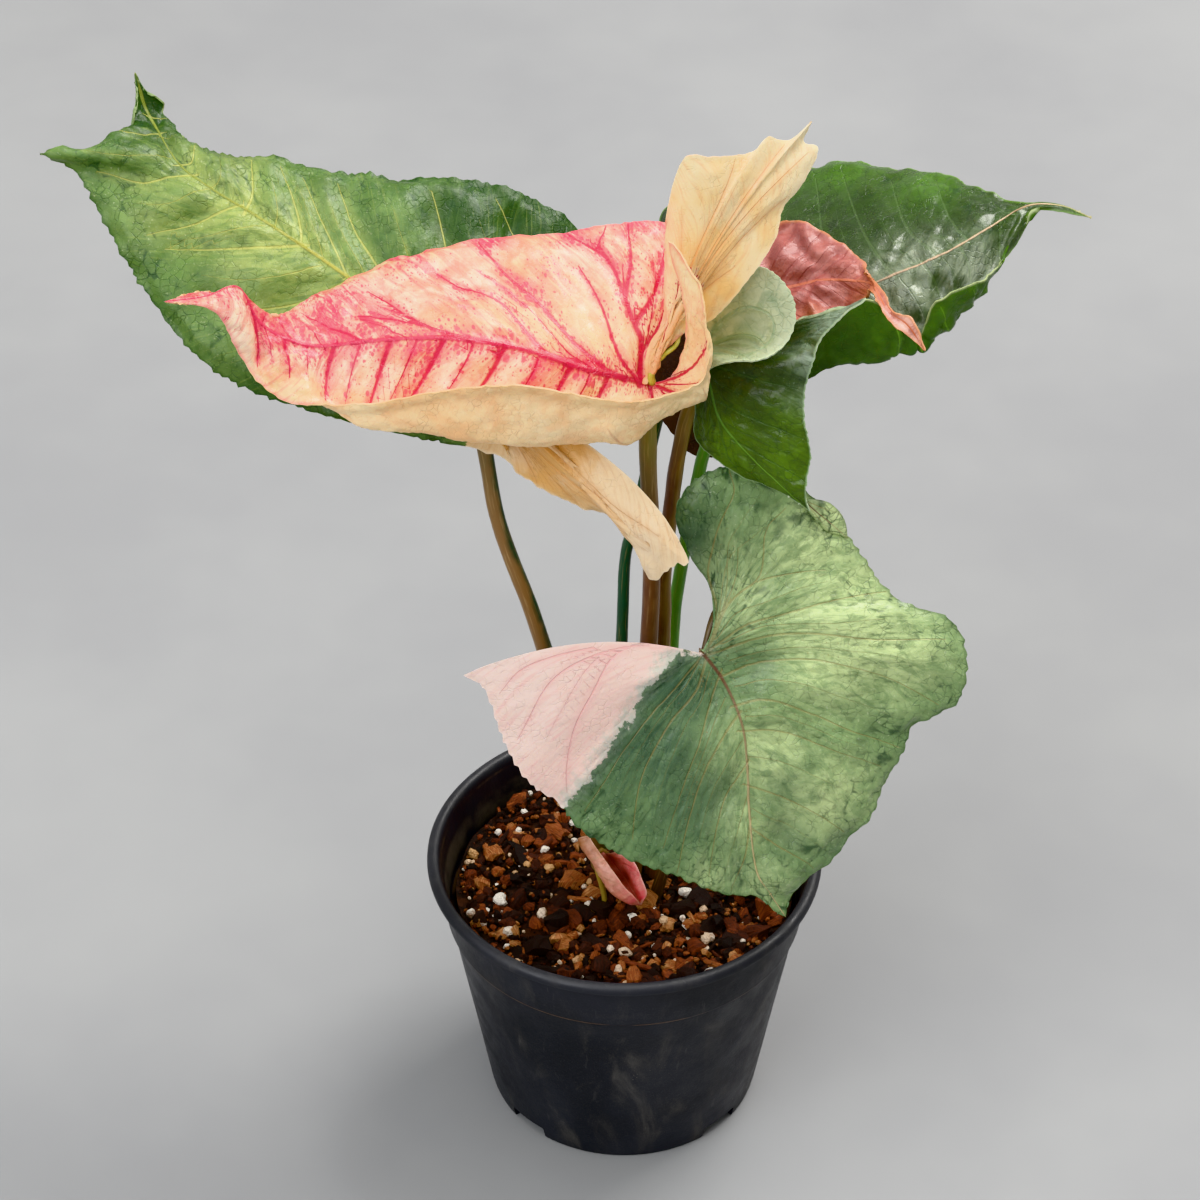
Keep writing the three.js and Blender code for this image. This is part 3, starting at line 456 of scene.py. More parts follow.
def woven_sheet(name: str, points: np.ndarray, flat: np.ndarray) -> tuple[bpy.types.Object, np.ndarray]:
    """A grid of faces laid over rows of points.

    Args:
        name: the object's name.
        points: the places in metres, rows by columns by 3.
        flat: the places on the flat pattern, rows by columns by 2.

    Returns:
        The object, and for each of its points the index of its place in the rows.
    """
    rows, columns = points.shape[:2]
    deselect()
    bpy.ops.mesh.primitive_grid_add(x_subdivisions=columns - 1, y_subdivisions=rows - 1, size=1)
    piece = bpy.context.object
    piece.name = piece.data.name = name
    start = points_of(piece)
    column = np.rint((start[:, 0] + 0.5) * (columns - 1)).astype(int)
    row = np.rint((start[:, 1] + 0.5) * (rows - 1)).astype(int)
    index = row * columns + column
    move_points(piece, points.reshape(-1, 3)[index])
    corner = np.empty(len(piece.data.loops), int)
    piece.data.loops.foreach_get("vertex_index", corner)
    layer = piece.data.uv_layers[0]
    layer.name = "flat"
    layer.data.foreach_set("uv", flat.reshape(-1, 2)[index][corner].astype(np.float32).ravel())
    return piece, index


def spun(name: str, section: Sequence[tuple[float, float]], steps: int) -> bpy.types.Object:
    """A round body, spun from its section.

    Args:
        name: the object's name.
        section: the radius and height of its corners in millimetres, from the axis back to the axis.
        steps: how many faces go round.

    Returns:
        The body.
    """
    deselect()
    bpy.ops.mesh.primitive_plane_add(size=0.01, location=(0, 0, section[0][1] * MM))
    body = bpy.context.object
    bpy.ops.object.transform_apply(location=True)
    body.name = body.data.name = name
    edit(body)
    bpy.ops.mesh.merge(type="CENTER")
    for (r0, z0), (r1, z1) in zip(section, section[1:]):
        bpy.ops.mesh.extrude_region_move(TRANSFORM_OT_translate={"value": ((r1 - r0) * MM, 0, (z1 - z0) * MM)})
    bpy.ops.mesh.select_all(action="SELECT")
    bpy.ops.mesh.spin(steps=steps, angle=2 * math.pi, center=(0, 0, 0), axis=(0, 0, 1))
    close_edit()
    merge_doubles(body, 0.00001, outward=True)
    return body


def tube(name: str, line: np.ndarray, radii: np.ndarray, sides: int, uneven: float, seed: int) -> bpy.types.Object:
    """A round stem along a line, closed at both ends.

    Args:
        name: the object's name.
        line: the middle of the stem, in metres.
        radii: its radius at each point of the line, in metres.
        sides: how many faces go round.
        uneven: how far the skin wanders in and out, in metres.
        seed: the pattern of the unevenness.

    Returns:
        The stem.
    """
    heading = unit(np.gradient(line, axis=0))
    across = np.zeros_like(line)
    across[0] = unit(np.cross(heading[0], (0.3, -0.9, 0.2)))
    for i in range(1, len(line)):
        across[i] = unit(across[i - 1] - heading[i] * (across[i - 1] @ heading[i]))
    other = np.cross(heading, across)
    turn = np.linspace(0, 2 * np.pi, sides + 1)
    ring = across[:, None] * np.cos(turn)[None, :, None] + other[:, None] * np.sin(turn)[None, :, None]
    skin = radii[:, None] + uneven * waves(
        (line[:, None] + ring * radii[:, None, None]).reshape(-1, 3), 0.011, seed
    ).reshape(len(line), -1)
    skin[:, -1] = skin[:, 0]
    closing = np.ones(len(line))
    closing[[0, -1]], closing[[1, -2]] = 0, 0.75
    points = line[:, None] + ring * (skin * closing[:, None])[..., None]
    run = run_of(line)
    flat = np.stack(np.broadcast_arrays(turn[None] / (2 * np.pi) * 0.015, run[:, None]), -1)
    piece, index = woven_sheet(name, points, flat)
    along = (run / run[-1])[index // (sides + 1)]
    around = (turn / (2 * np.pi))[index % (sides + 1)]
    store(piece, "stem", np.stack([along, around, np.zeros_like(along)], 1))
    merge_doubles(piece, outward=True)
    return piece


class Sheet:
    """The smooth sheet that a leaf's outline spans, in millimetres."""

    def __init__(self, outline: Outline, swell: float, towards: Point) -> None:
        """Takes the rows in.

        Args:
            outline: the midrib and the rows.
            swell: how far a row without a fold rises half way, as a share of its length.
            towards: the direction it rises in.
        """
        self.spine = np.array(outline.spine, float)
        self.at: dict[Side, np.ndarray] = {}
        self.edge: dict[Side, np.ndarray] = {}
        self.fold: dict[Side, np.ndarray] = {}
        for side, rows in ((LEFT, outline.left), (RIGHT, outline.right)):
            at = np.array([row.at for row in rows], float)
            edge = np.array([row.edge for row in rows], float)
            base = through(self.spine, at)
            reach = np.linalg.norm(base - edge, axis=1, keepdims=True)
            middle = (base + edge) / 2 + np.array(towards, float) * swell * reach
            given = [row.fold if row.fold else tuple(m) for row, m in zip(rows, middle)]
            self.at[side], self.edge[side], self.fold[side] = at, edge, np.array(given, float)

    def place(self, side: Side, along: np.ndarray, across: np.ndarray) -> np.ndarray:
        """The points of one half at these fractions along its rows and across them."""
        last = len(self.at[side]) - 1
        base = through(self.spine, np.interp(np.atleast_1d(along) * last, np.arange(last + 1), self.at[side]))
        v = np.atleast_1d(across)[:, None]
        middle, edge = through(self.fold[side], along), through(self.edge[side], along)
        return base * ((1 - v) * (1 - 2 * v)) + middle * (4 * v * (1 - v)) + edge * (v * (2 * v - 1))

    def drawn(self, vein: Vein, count: int, thin: float) -> tuple[np.ndarray, float, float]:
        """A vein as that many points on the sheet, its half width, and the same times thin at its end."""
        track = vein.track(count)
        return self.place(vein.side, track[:, 0], track[:, 1]), vein.width, vein.width * thin

    def rows(self, lobe: int, blade: int) -> dict[Side, np.ndarray]:
        """Where the rows of the grid lie on each half, so that both halves meet along the midrib.

        Args:
            lobe: the number of rows that fan out of the stalk's end.
            blade: the number of rows from there to the apex.

        Returns:
            The fractions along each half's rows.
        """
        start, progress = {}, []
        stations = np.linspace(0, 1, 1201)
        for side in Side:
            last = len(self.at[side]) - 1
            first = np.count_nonzero(self.at[side] == 0) - 1
            start[side] = first / last
            progress.append(np.interp(stations, self.at[side][first:], np.arange(first, last + 1) / last))
        mean = sum((p - p[0]) / (p[-1] - p[0]) for p in progress) / 2
        wanted = np.linspace(0, 1, blade)
        return {
            side: np.concatenate(
                [np.linspace(0, start[side], lobe, endpoint=False), np.interp(wanted, mean, progress[k])]
            )
            for k, side in enumerate(Side)
        }


def square_gaps(points: np.ndarray, spots: np.ndarray) -> np.ndarray:
    """The squares of the distances from each point to each spot."""
    gaps = (points**2).sum(1)[:, None] + (spots**2).sum(1)[None] - 2 * points @ spots.T
    return np.maximum(gaps, 0)


def near_lines(points: np.ndarray, normals: np.ndarray, lines: list[tuple[np.ndarray, float, float]]) -> np.ndarray:
    """How the points of a blade lie to the nearest of some lines drawn on it.

    Args:
        points: the blade's points, in millimetres.
        normals: its normals there.
        lines: each line's points, and its half width at the start and at the end.

    Returns:
        For each point the distance with the sign of its side, the plain distance, and the line's half width.
    """
    spots = np.vstack([line for line, _, _ in lines])
    headings = np.vstack([unit(np.gradient(line, axis=0)) for line, _, _ in lines])
    widths = np.concatenate([np.linspace(first, last, len(line)) for line, first, last in lines])
    out = np.empty((len(points), 3))
    for part in chunks(len(points)):
        here = points[part]
        gaps = square_gaps(here, spots)
        best = gaps.argmin(1)
        offset, heading = here - spots[best], headings[best]
        sideways = offset - heading * (offset * heading).sum(1, keepdims=True)
        far = np.sqrt(gaps[np.arange(len(here)), best])
        beside = np.minimum(np.linalg.norm(sideways, axis=1), far)
        beside = np.where(far > SIDEWAYS_REACH, far, beside)
        side = np.sign((np.cross(heading, offset) * normals[part]).sum(1))
        out[part] = np.stack([side * beside, far, widths[best]], 1)
    return out


def halfway(veins: Sequence[Vein]) -> list[Vein]:
    """Thin veins half way between neighbouring ones of the same side."""
    made = []
    for side in Side:
        own = sorted((vein for vein in veins if vein.side is side), key=lambda vein: vein.path[0][0])
        for pair in zip(own, own[1:]):
            one, two = (vein.track(5, 0.1, 0.85) for vein in pair)
            if np.abs(one - two).max() < NEIGHBOUR_GAP:
                path = tuple(map(tuple, ((one + two) / 2).tolist()))
                made.append(Vein(side, path, 0.4 * min(vein.width for vein in pair)))
    return made


@dataclass
class Blade:
    """The blade of a leaf or bract: a thin sheet with sunken veins, a toothed margin and a rib underneath.

    Args:
        outline: its rows.
        swell: how far its rows rise half way across, as a share of their length.
        towards: the direction they rise in.
        upper: the direction that the upper face looks in.
        veins: its side veins.
        lobe_rows, blade_rows, half_columns: the fineness of the mesh.
        relief: how far the blade rises between its veins, in millimetres.
        quilt: how far from a vein it reaches that height, in millimetres.
        teeth: the height of the margin's teeth, in millimetres.
        pitch: their spacing, in millimetres.
        frill: how far the margin waves up and down, in millimetres.
        ripple: a general unevenness, in millimetres, and ripple_size its spacing.
        thickness: the blade's thickness, and rib the depth of the midrib with it, in millimetres.
        rib_width: half the midrib's width at the stalk, in millimetres.
        border: a line between two colours on one half; the second colour lies outside it, up to its last row.
        blush: patches of a second colour; on the dark green and mottled green leaves they are partly painted light.
        shade: patches of a third colour; on some leaves partly painted shade, on others painted light through the
            blade.
        crumple: patches where the blade is crumpled, and crumple_depth by how much.
        bulges: broad swellings and hollows; their strength is their height in millimetres.
        cell, cell_relief: the size of the small swellings between the smallest veins, and their height.
    """

    outline: Outline
    swell: float
    towards: Point
    upper: Point
    veins: tuple[Vein, ...]
    lobe_rows: int = 120
    blade_rows: int = 160
    half_columns: int = 30
    relief: float = 0.5
    quilt: float = 3.0
    teeth: float = 0.45
    pitch: float = 3.2
    frill: float = 0.5
    ripple: float = 0.35
    ripple_size: float = 22.0
    thickness: float = 0.5
    rib: float = 2.2
    rib_width: float = 1.4
    border: Optional[tuple[Side, str]] = None
    blush: tuple[Patch, ...] = ()
    shade: tuple[Patch, ...] = ()
    crumple: tuple[Patch, ...] = ()
    crumple_depth: float = 1.0
    crumple_size: float = 6.0
    bulges: tuple[Patch, ...] = ()
    cell: float = 6.0
    cell_relief: float = 0.3
    cell_soft: float = 2.4
    seed: int = 1
    keel: tuple[np.ndarray, np.ndarray] = field(default=(), init=False)
    rims: tuple[Side, ...] = ()
    rim_lines: tuple[np.ndarray, ...] = field(default=(), init=False)

    def patches(self, sheet: Sheet, points: np.ndarray, patches: Sequence[Patch], added: bool = False) -> np.ndarray:
        """How strongly each point lies in the patches: in the strongest one, or in all of them added up."""
        total = np.zeros(len(points))
        for patch in patches:
            middle = sheet.place(patch.side, np.array([patch.along]), np.array([patch.across]))[0]
            gap = np.linalg.norm(points - middle, axis=1) / patch.radius
            here = patch.strength * np.exp(-gap * gap)
            total = total + here if added else np.maximum(total, here)
        return total

    def cell_gaps(self, points: np.ndarray, areas: np.ndarray) -> np.ndarray:
        """How far each point lies from the nearest of the smallest veins that shape the blade, in millimetres."""
        draw = np.random.default_rng(self.seed + 60)
        count = max(8, int(areas.sum() / self.cell**2))
        bent = points + 0.9 * np.stack([waves(points, 7.0, self.seed + 61 + k) for k in range(3)], 1)
        seeds = bent[draw.choice(len(points), count, replace=False, p=areas / areas.sum())]
        out = np.empty(len(points))
        for part in chunks(len(points)):
            two = np.sqrt(np.partition(square_gaps(bent[part], seeds), 1, axis=1)[:, :2])
            out[part] = two[:, 1] - two[:, 0]
        return out

    def margin_teeth(self, run: np.ndarray) -> np.ndarray:
        """The height of the teeth at these distances along the margin, as a share of a tooth."""
        draw = np.random.default_rng(self.seed + 40)
        starts = np.cumsum(self.pitch * draw.uniform(0.6, 1.5, int(run[-1] / self.pitch * 1.3) + 8))
        heights = draw.uniform(0.35, 1.0, len(starts) + 1)
        index = np.searchsorted(starts, run)
        low = np.concatenate([[0], starts])[index]
        high = np.concatenate([starts, starts[-1:] + self.pitch])[index]
        place = np.clip((run - low) / np.maximum(high - low, 1e-6), 0, 1)
        return heights[index] * np.where(place < 0.72, place / 0.72, (1 - place) / 0.28)

    def build(self, name: str, upper: bpy.types.Material, lower: bpy.types.Material) -> bpy.types.Object:
        """Models the blade.

        Args:
            name: the object's name.
            upper: the finish of its upper face.
            lower: the finish of its lower face and of its margin.

        Returns:
            The blade.
        """
        sheet = Sheet(self.outline, self.swell, self.towards)
        where = sheet.rows(self.lobe_rows, self.blade_rows)
        w = np.linspace(0, 1, self.half_columns + 1)
        across = 0.55 * w + 0.45 * (0.5 - 0.5 * np.cos(np.pi * w))
        count = len(where[LEFT])
        halves = {
            side: sheet.place(
                side, np.repeat(where[side], len(across)), np.tile(across, count)
            ).reshape(count, -1, 3)
            for side in Side
        }
        grid = np.concatenate([halves[LEFT][:, :0:-1], halves[RIGHT]], 1)
        columns = grid.shape[1]
        middle = self.half_columns

        down, over = np.gradient(grid, axis=0), np.gradient(grid, axis=1)
        normals = unit(np.cross(over, down))
        normals[:, middle] = unit(normals[:, middle - 1] + normals[:, middle + 1])
        if (normals[self.lobe_rows :].reshape(-1, 3) @ np.array(self.upper, float)).mean() < 0:
            normals = -normals

        self.keel = (grid[self.lobe_rows :, middle], normals[self.lobe_rows :, middle])
        flat_points, flat_normals = grid.reshape(-1, 3), normals.reshape(-1, 3)
        lines = [sheet.drawn(vein, 90, 0.3) for vein in self.veins]
        folds_between = near_lines(flat_points, flat_normals, lines)[:, 1]
        lines += [sheet.drawn(vein, 60, 0.2) for vein in halfway(self.veins)]
        vein_lines = near_lines(flat_points, flat_normals, lines)
        spine = through(sheet.spine, np.linspace(0, 1, 400))
        rib_lines = near_lines(flat_points, flat_normals, [(spine, self.rib_width, self.rib_width * 0.25)])

        edge_line = np.concatenate([grid[:, 0], grid[:, -1], grid[0]])
        margin = np.concatenate(
            [np.sqrt(square_gaps(flat_points[part], edge_line).min(1)) for part in chunks(len(flat_points))]
        )

        border = np.full(len(flat_points), NO_BORDER)
        if self.border:
            side, places = self.border[0], np.array(groups(self.border[1]))
            track = through(places, np.linspace(0, 1, 300))
            line = sheet.place(side, track[:, 0], track[:, 1])
            near = near_lines(flat_points, flat_normals, [(line, 1.0, 1.0)])
            half = np.repeat(where[side], columns)
            position = np.arange(len(flat_points)) % columns / (columns - 1) * 2 - 1
            own = (-position if side is LEFT else position) > 0.001
            share = np.abs(position)
            share[half > places[:, 0].max()] = -1
            order = np.argsort(places[:, 0])
            limit = np.interp(half, places[order, 0], places[order, 1])
            share = np.interp(share, np.linspace(0, 1, len(across)), across)
            border = np.where(own & (share > limit), near[:, 1], -near[:, 1])

        lift = self.relief * (1 - np.exp(-((folds_between / self.quilt) ** 2)))
        lift *= ease(rib_lines[:, 1], 0.3, 4.0) * ease(margin, 0.0, 5.0)
        areas = np.linalg.norm(np.cross(over, down), axis=2).ravel() + 1e-6
        gaps = self.cell_gaps(flat_points, areas)
        lift += self.cell_relief * (ease(gaps, 0.0, self.cell_soft) - 1) * ease(margin, 0.0, 2.0)
        lift += self.ripple * waves(flat_points, self.ripple_size, self.seed)
        lift += 0.06 * waves(flat_points, 2.6, self.seed + 7) * self.relief / 0.5
        lift += self.frill * waves(flat_points, 16.0, self.seed + 3) * (1 - ease(margin, 0.0, 9.0))
        lift += 0.6 * self.frill * waves(flat_points, 6.5, self.seed + 4) * (1 - ease(margin, 0.0, 4.5))
        rough = self.patches(sheet, flat_points, self.crumple)
        folds = 1 - np.abs(waves(flat_points, self.crumple_size, self.seed + 5))
        lift += self.crumple_depth * rough * (folds - 0.5)
        lift *= 1 - 0.7 * np.exp(-((rib_lines[:, 1] / 2.0) ** 2))
        lift *= (1 - 0.65 * ease(border, 0.0, 5.0)) * ease(areas, 0.0, 0.45 * float(np.median(areas)))
        lift += self.patches(sheet, flat_points, self.bulges, added=True)
        shaped = (flat_points + flat_normals * lift[:, None]).reshape(grid.shape)
        raised = shaped[0] + 1.2 * normals[0]
        self.rim_lines = tuple(raised[middle:] if side is RIGHT else raised[middle::-1] for side in self.rims)

        for column, inner in ((0, 1), (columns - 1, columns - 2)):
            run = run_of(grid[:, column])
            outward = unit(grid[:, column] - grid[:, inner * 3 - 2 * column])
            tooth = self.teeth * (self.margin_teeth(run) - 0.35)
            tooth *= ease(run, 0, 6) * ease(run[-1] - run, 0, 6)
            step = 1 if column == 0 else -1
            for k, share in enumerate((1.0, 0.55, 0.2)):
                shaped[:, column + step * k] += outward * (tooth * share)[:, None]

        low, high = np.array(cad_low) / MM + 0.15, np.array(cad_high) / MM - 0.15
        shaped = np.clip(shaped, low, high)
        row_run = run_of(grid[:, [0, -1]].mean(1))
        side_run = np.linalg.norm(grid - grid[:, middle : middle + 1], axis=2)
        side_run[:, :middle] *= -1
        flat = np.stack([side_run, np.broadcast_to(row_run[:, None], side_run.shape)], -1) * MM
        piece, index = woven_sheet(name, shaped * MM, flat)
        piece.data.materials.append(upper)
        piece.data.materials.append(lower)

        blush = self.patches(sheet, flat_points, self.blush)
        shade = self.patches(sheet, flat_points, self.shade)
        fraction = (index // columns - self.lobe_rows) / self.blade_rows
        store(piece, "vein", vein_lines[index])
        store(piece, "rib", np.column_stack([rib_lines[index][:, :2], fraction]))
        store(piece, "area", np.column_stack([margin, border, blush])[index])
        store(piece, "tint", np.column_stack([shade, rib_lines[:, 2], gaps])[index])

        thick = np.clip(1 - rib_lines[:, 1] / (rib_lines[:, 2] * 1.6), 0, 1) ** 0.8
        thick *= ease(1 - fraction_of(rib_lines), 0, 1)
        thick = np.maximum(thick, 0.28 * np.clip(1 - vein_lines[:, 1] / 1.3, 0, 1))
        weights = np.clip(self.thickness / self.rib + thick * (1 - self.thickness / self.rib), 0, 1)[index]
        group = piece.vertex_groups.new(name="depth")
        levels = np.rint(weights * DEPTH_STEPS).astype(int)
        for level in np.unique(levels):
            group.add(np.nonzero(levels == level)[0].tolist(), level / DEPTH_STEPS, "REPLACE")

        merge_doubles(piece)
        edit(piece)
        if self.facing(piece) < 0:
            bpy.ops.mesh.flip_normals()
        close_edit()
        apply(
            piece, "SOLIDIFY", thickness=self.rib * MM, offset=-1.0, use_rim=True, use_quality_normals=True,
            vertex_group="depth", thickness_vertex_group=0.0, material_offset=1, material_offset_rim=1,
        )
        return piece

    def facing(self, piece: bpy.types.Object) -> float:
        """Positive where the blade's faces look the way its upper face does."""
        bpy.ops.object.mode_set(mode="OBJECT")
        size = len(piece.data.polygons)
        normals, areas = np.empty(size * 3), np.empty(size)
        piece.data.polygons.foreach_get("normal", normals)
        piece.data.polygons.foreach_get("area", areas)
        bpy.ops.object.mode_set(mode="EDIT")
        bpy.ops.mesh.select_all(action="SELECT")
        return float(((normals.reshape(-1, 3) @ np.array(self.upper, float)) * areas).sum())


def fraction_of(rib_lines: np.ndarray) -> np.ndarray:
    """How thin the midrib has become beside each point, from 0 at the stalk to 1 at the apex."""
    widths = rib_lines[:, 2]
    return (widths.max() - widths) / (widths.max() - widths.min())


def colour(code: str) -> tuple[float, float, float, float]:
    """A screen colour such as #aabbcc as the linear colour a shader takes."""
    parts = [int(code[i : i + 2], 16) / 255 for i in (1, 3, 5)]
    linear = [p / 12.92 if p <= 0.04045 else ((p + 0.055) / 1.055) ** 2.4 for p in parts]
    return (linear[0], linear[1], linear[2], 1.0)


class Graph:
    """Adds and links the nodes of one material or node group."""

    def __init__(self, tree: bpy.types.NodeTree) -> None:
        """Takes the node tree to work on."""
        self.tree = tree

    def node(self, kind: str, **settings: object) -> bpy.types.Node:
        """A new node of that kind, with these settings."""
        made = self.tree.nodes.new("ShaderNode" + kind)
        for name, value in settings.items():
            setattr(made, name, value)
        return made

    def feed(self, socket: bpy.types.NodeSocket, value: object) -> None:
        """Links an output to the socket, or sets its number, vector or colour."""
        if isinstance(value, bpy.types.NodeSocket):
            self.tree.links.new(value, socket)
        elif isinstance(value, str):
            socket.default_value = colour(value)
        elif value is not None:
            socket.default_value = value

    def math(self, operation: str, *values: object, clamp: bool = False) -> bpy.types.NodeSocket:
        """One step of arithmetic."""
        made = self.node("Math", operation=operation, use_clamp=clamp)
        for socket, value in zip(made.inputs, values):
            self.feed(socket, value)
        return made.outputs[0]

    def times(self, *values: object) -> bpy.types.NodeSocket:
        """The product of the values."""
        total = values[0]
        for value in values[1:]:
            total = self.math("MULTIPLY", total, value)
        return total

    def blend(self, amount: object, first: object, second: object, mode: str = "MIX") -> bpy.types.NodeSocket:
        """The first colour going over to the second."""
        made = self.node("Mix", data_type="RGBA", blend_type=mode)
        for socket, value in zip((made.inputs[0], made.inputs[6], made.inputs[7]), (amount, first, second)):
            self.feed(socket, value)
        return made.outputs[2]

    def over(self, ground: object, tint: object, *amounts: object) -> bpy.types.NodeSocket:
        """The ground with the tint over it, by the product of the amounts."""
        return self.blend(self.times(*amounts), ground, tint)

    def span(
        self, value: object, low: object, high: object, start: float = 0.0, end: float = 1.0
    ) -> bpy.types.NodeSocket:
        """Brings low..high smoothly to start..end."""
        made = self.node("MapRange", interpolation_type="SMOOTHSTEP")
        for socket, given in zip(made.inputs, (value, low, high, start, end)):
            self.feed(socket, given)
        return made.outputs[0]

    def noise(
        self, vector: object, scale: object, detail: float = 3, rough: float = 0.5, bend: float = 0
    ) -> bpy.types.NodeSocket:
        """Cloudy noise, from 0 to 1."""
        made = self.node("TexNoise")
        for name, value in zip(
            ("Vector", "Scale", "Detail", "Roughness", "Distortion"), (vector, scale, detail, rough, bend)
        ):
            self.feed(made.inputs[name], value)
        return made.outputs["Fac"]

    def cells(self, vector: object, scale: object, feature: str = "F1") -> bpy.types.Node:
        """A pattern of cells."""
        made = self.node("TexVoronoi", feature=feature)
        self.feed(made.inputs["Vector"], vector)
        self.feed(made.inputs["Scale"], scale)
        return made

    def split(self, vector: object) -> tuple[bpy.types.NodeSocket, ...]:
        """The three numbers of a vector."""
        made = self.node("SeparateXYZ")
        self.feed(made.inputs[0], vector)
        return tuple(made.outputs)

    def stored(self, name: str) -> bpy.types.NodeSocket:
        """Numbers that the mesh keeps for each of its points."""
        return self.node("Attribute", attribute_name=name).outputs["Vector"]

    def place(self) -> bpy.types.NodeSocket:
        """The place on the object, in metres."""
        return self.node("TexCoord").outputs["Object"]

    def flat(self, stretch: Point = (1, 1, 1)) -> bpy.types.NodeSocket:
        """The place on the piece's flat pattern, in metres."""
        made = self.node("Mapping")
        self.feed(made.inputs["Vector"], self.node("UVMap", uv_map="flat").outputs[0])
        made.inputs["Scale"].default_value = stretch
        return made.outputs[0]

    def flow(self, lean: float, draw_out: float) -> bpy.types.NodeSocket:
        """The place on the flat pattern, leaning along the side veins and drawn out along them."""
        u, v, _ = self.split(self.node("UVMap", uv_map="flat").outputs[0])
        made = self.node("CombineXYZ")
        self.feed(made.inputs[0], self.math("MULTIPLY", u, draw_out))
        self.feed(made.inputs[1], self.math("SUBTRACT", v, self.math("MULTIPLY", self.math("ABSOLUTE", u), lean)))
        return made.outputs[0]

    def use(self, group: bpy.types.NodeTree, **values: object) -> bpy.types.Node:
        """Places a shared effect with its own values."""
        made = self.node("Group", node_tree=group)
        for name, value in values.items():
            self.feed(made.inputs[name.replace("_", " ").capitalize()], value)
        return made

    def bump(self, height: object, depth: float, strength: float = 1.0, onto: object = None) -> bpy.types.NodeSocket:
        """A normal with this height worked in; depth in metres."""
        made = self.node("Bump")
        made.inputs["Strength"].default_value = strength
        made.inputs["Distance"].default_value = depth
        self.feed(made.inputs["Height"], height)
        self.feed(made.inputs["Normal"], onto)
        return made.outputs[0]


def effect(
    name: str, inputs: dict[str, tuple[str, object]], outputs: tuple[str, ...]
) -> tuple[Graph, bpy.types.Node, bpy.types.Node]:
    """A new shared effect as a node group.

    Args:
        name: its name.
        inputs: each input's kind, Float, Vector or Color, and its usual value.
        outputs: the names of its outputs, all numbers.

    Returns:
        The graph to build it in, and its input and output nodes.
    """
    tree = bpy.data.node_groups.new(name, "ShaderNodeTree")
    for label, (kind, value) in inputs.items():
        socket = tree.interface.new_socket(label, in_out="INPUT", socket_type="NodeSocket" + kind)
        if value is not None:
            socket.default_value = value
    for label in outputs:
        tree.interface.new_socket(label, in_out="OUTPUT", socket_type="NodeSocketFloat")
    graph = Graph(tree)
    return graph, tree.nodes.new("NodeGroupInput"), tree.nodes.new("NodeGroupOutput")


def make_vein_lines() -> bpy.types.NodeTree:
    """Crisp vein cores and the soft stain around them, from the numbers that a blade keeps."""
    inputs = {"Lines": ("Vector", None), "Spread": ("Float", 1.0), "Reach": ("Float", 3.0)}
    g, given, out = effect("Vein lines", inputs, ("Core", "Halo"))
    signed, far, width = g.split(given.outputs["Lines"])
    ratio = g.math("DIVIDE", g.math("ABSOLUTE", signed), g.math("MULTIPLY", width, given.outputs["Spread"]))
    core = g.times(g.span(ratio, 1.15, 0.35), g.span(far, 2.6, 1.7))
    g.feed(out.inputs["Core"], core)
    reach = g.math("MULTIPLY", given.outputs["Reach"], g.span(width, 0.0, 0.5, 0.3, 1.0))
    g.feed(out.inputs["Halo"], g.span(far, reach, 0.0))
    return g.tree


def make_fine_net() -> bpy.types.NodeTree:
    """The net of the very smallest veins, broken up so that it never reads as a grid."""
    inputs = {"Vector": ("Vector", None), "Scale": ("Float", 400.0), "Width": ("Float", 0.1)}
    g, given, out = effect("Fine net", inputs, ("Line", "Cell"))
    vector, scale = given.outputs["Vector"], given.outputs["Scale"]
    shift = g.node("TexNoise")
    g.feed(shift.inputs["Vector"], vector)
    g.feed(shift.inputs["Scale"], g.math("MULTIPLY", scale, 0.8))
    moved = g.node("VectorMath", operation="MULTIPLY_ADD")
    g.feed(moved.inputs[0], shift.outputs["Color"])
    moved.inputs[1].default_value = (0.0014, 0.0014, 0.0014)
    g.feed(moved.inputs[2], vector)
    edges = g.cells(moved.outputs[0], scale, "DISTANCE_TO_EDGE")
    kept = g.span(g.noise(vector, g.math("MULTIPLY", scale, 0.5), 2), 0.4, 0.64, 0.1, 1.0)
    g.feed(out.inputs["Line"], g.times(g.span(edges.outputs[0], given.outputs["Width"], 0.0), kept))
    tone = g.cells(moved.outputs[0], scale)
    g.feed(out.inputs["Cell"], g.split(tone.outputs["Color"])[0])
    return g.tree


def make_specks() -> bpy.types.NodeTree:
    """Small separate dots of two sizes, which grow with their amount."""
    inputs = {"Vector": ("Vector", None), "Scale": ("Float", 500.0), "Amount": ("Float", 0.5)}
    g, given, out = effect("Specks", inputs, ("Mask",))
    masks = []
    for factor, size in ((0.8, 0.3), (1.5, 0.34), (2.6, 0.42)):
        dots = g.cells(given.outputs["Vector"], g.math("MULTIPLY", given.outputs["Scale"], factor))
        pick_one = g.split(dots.outputs["Color"])[0]
        reach = g.times(g.math("SUBTRACT", given.outputs["Amount"], g.times(pick_one, 0.75)), size * 2)
        limit = g.math("MAXIMUM", reach, 0.001)
        dot = g.span(dots.outputs["Distance"], limit, g.times(limit, 0.55))
        masks.append(g.times(dot, g.span(reach, 0.02, 0.12)))
    top = g.math("MAXIMUM", g.math("MAXIMUM", masks[0], masks[1]), masks[2])
    g.feed(out.inputs["Mask"], top)
    return g.tree


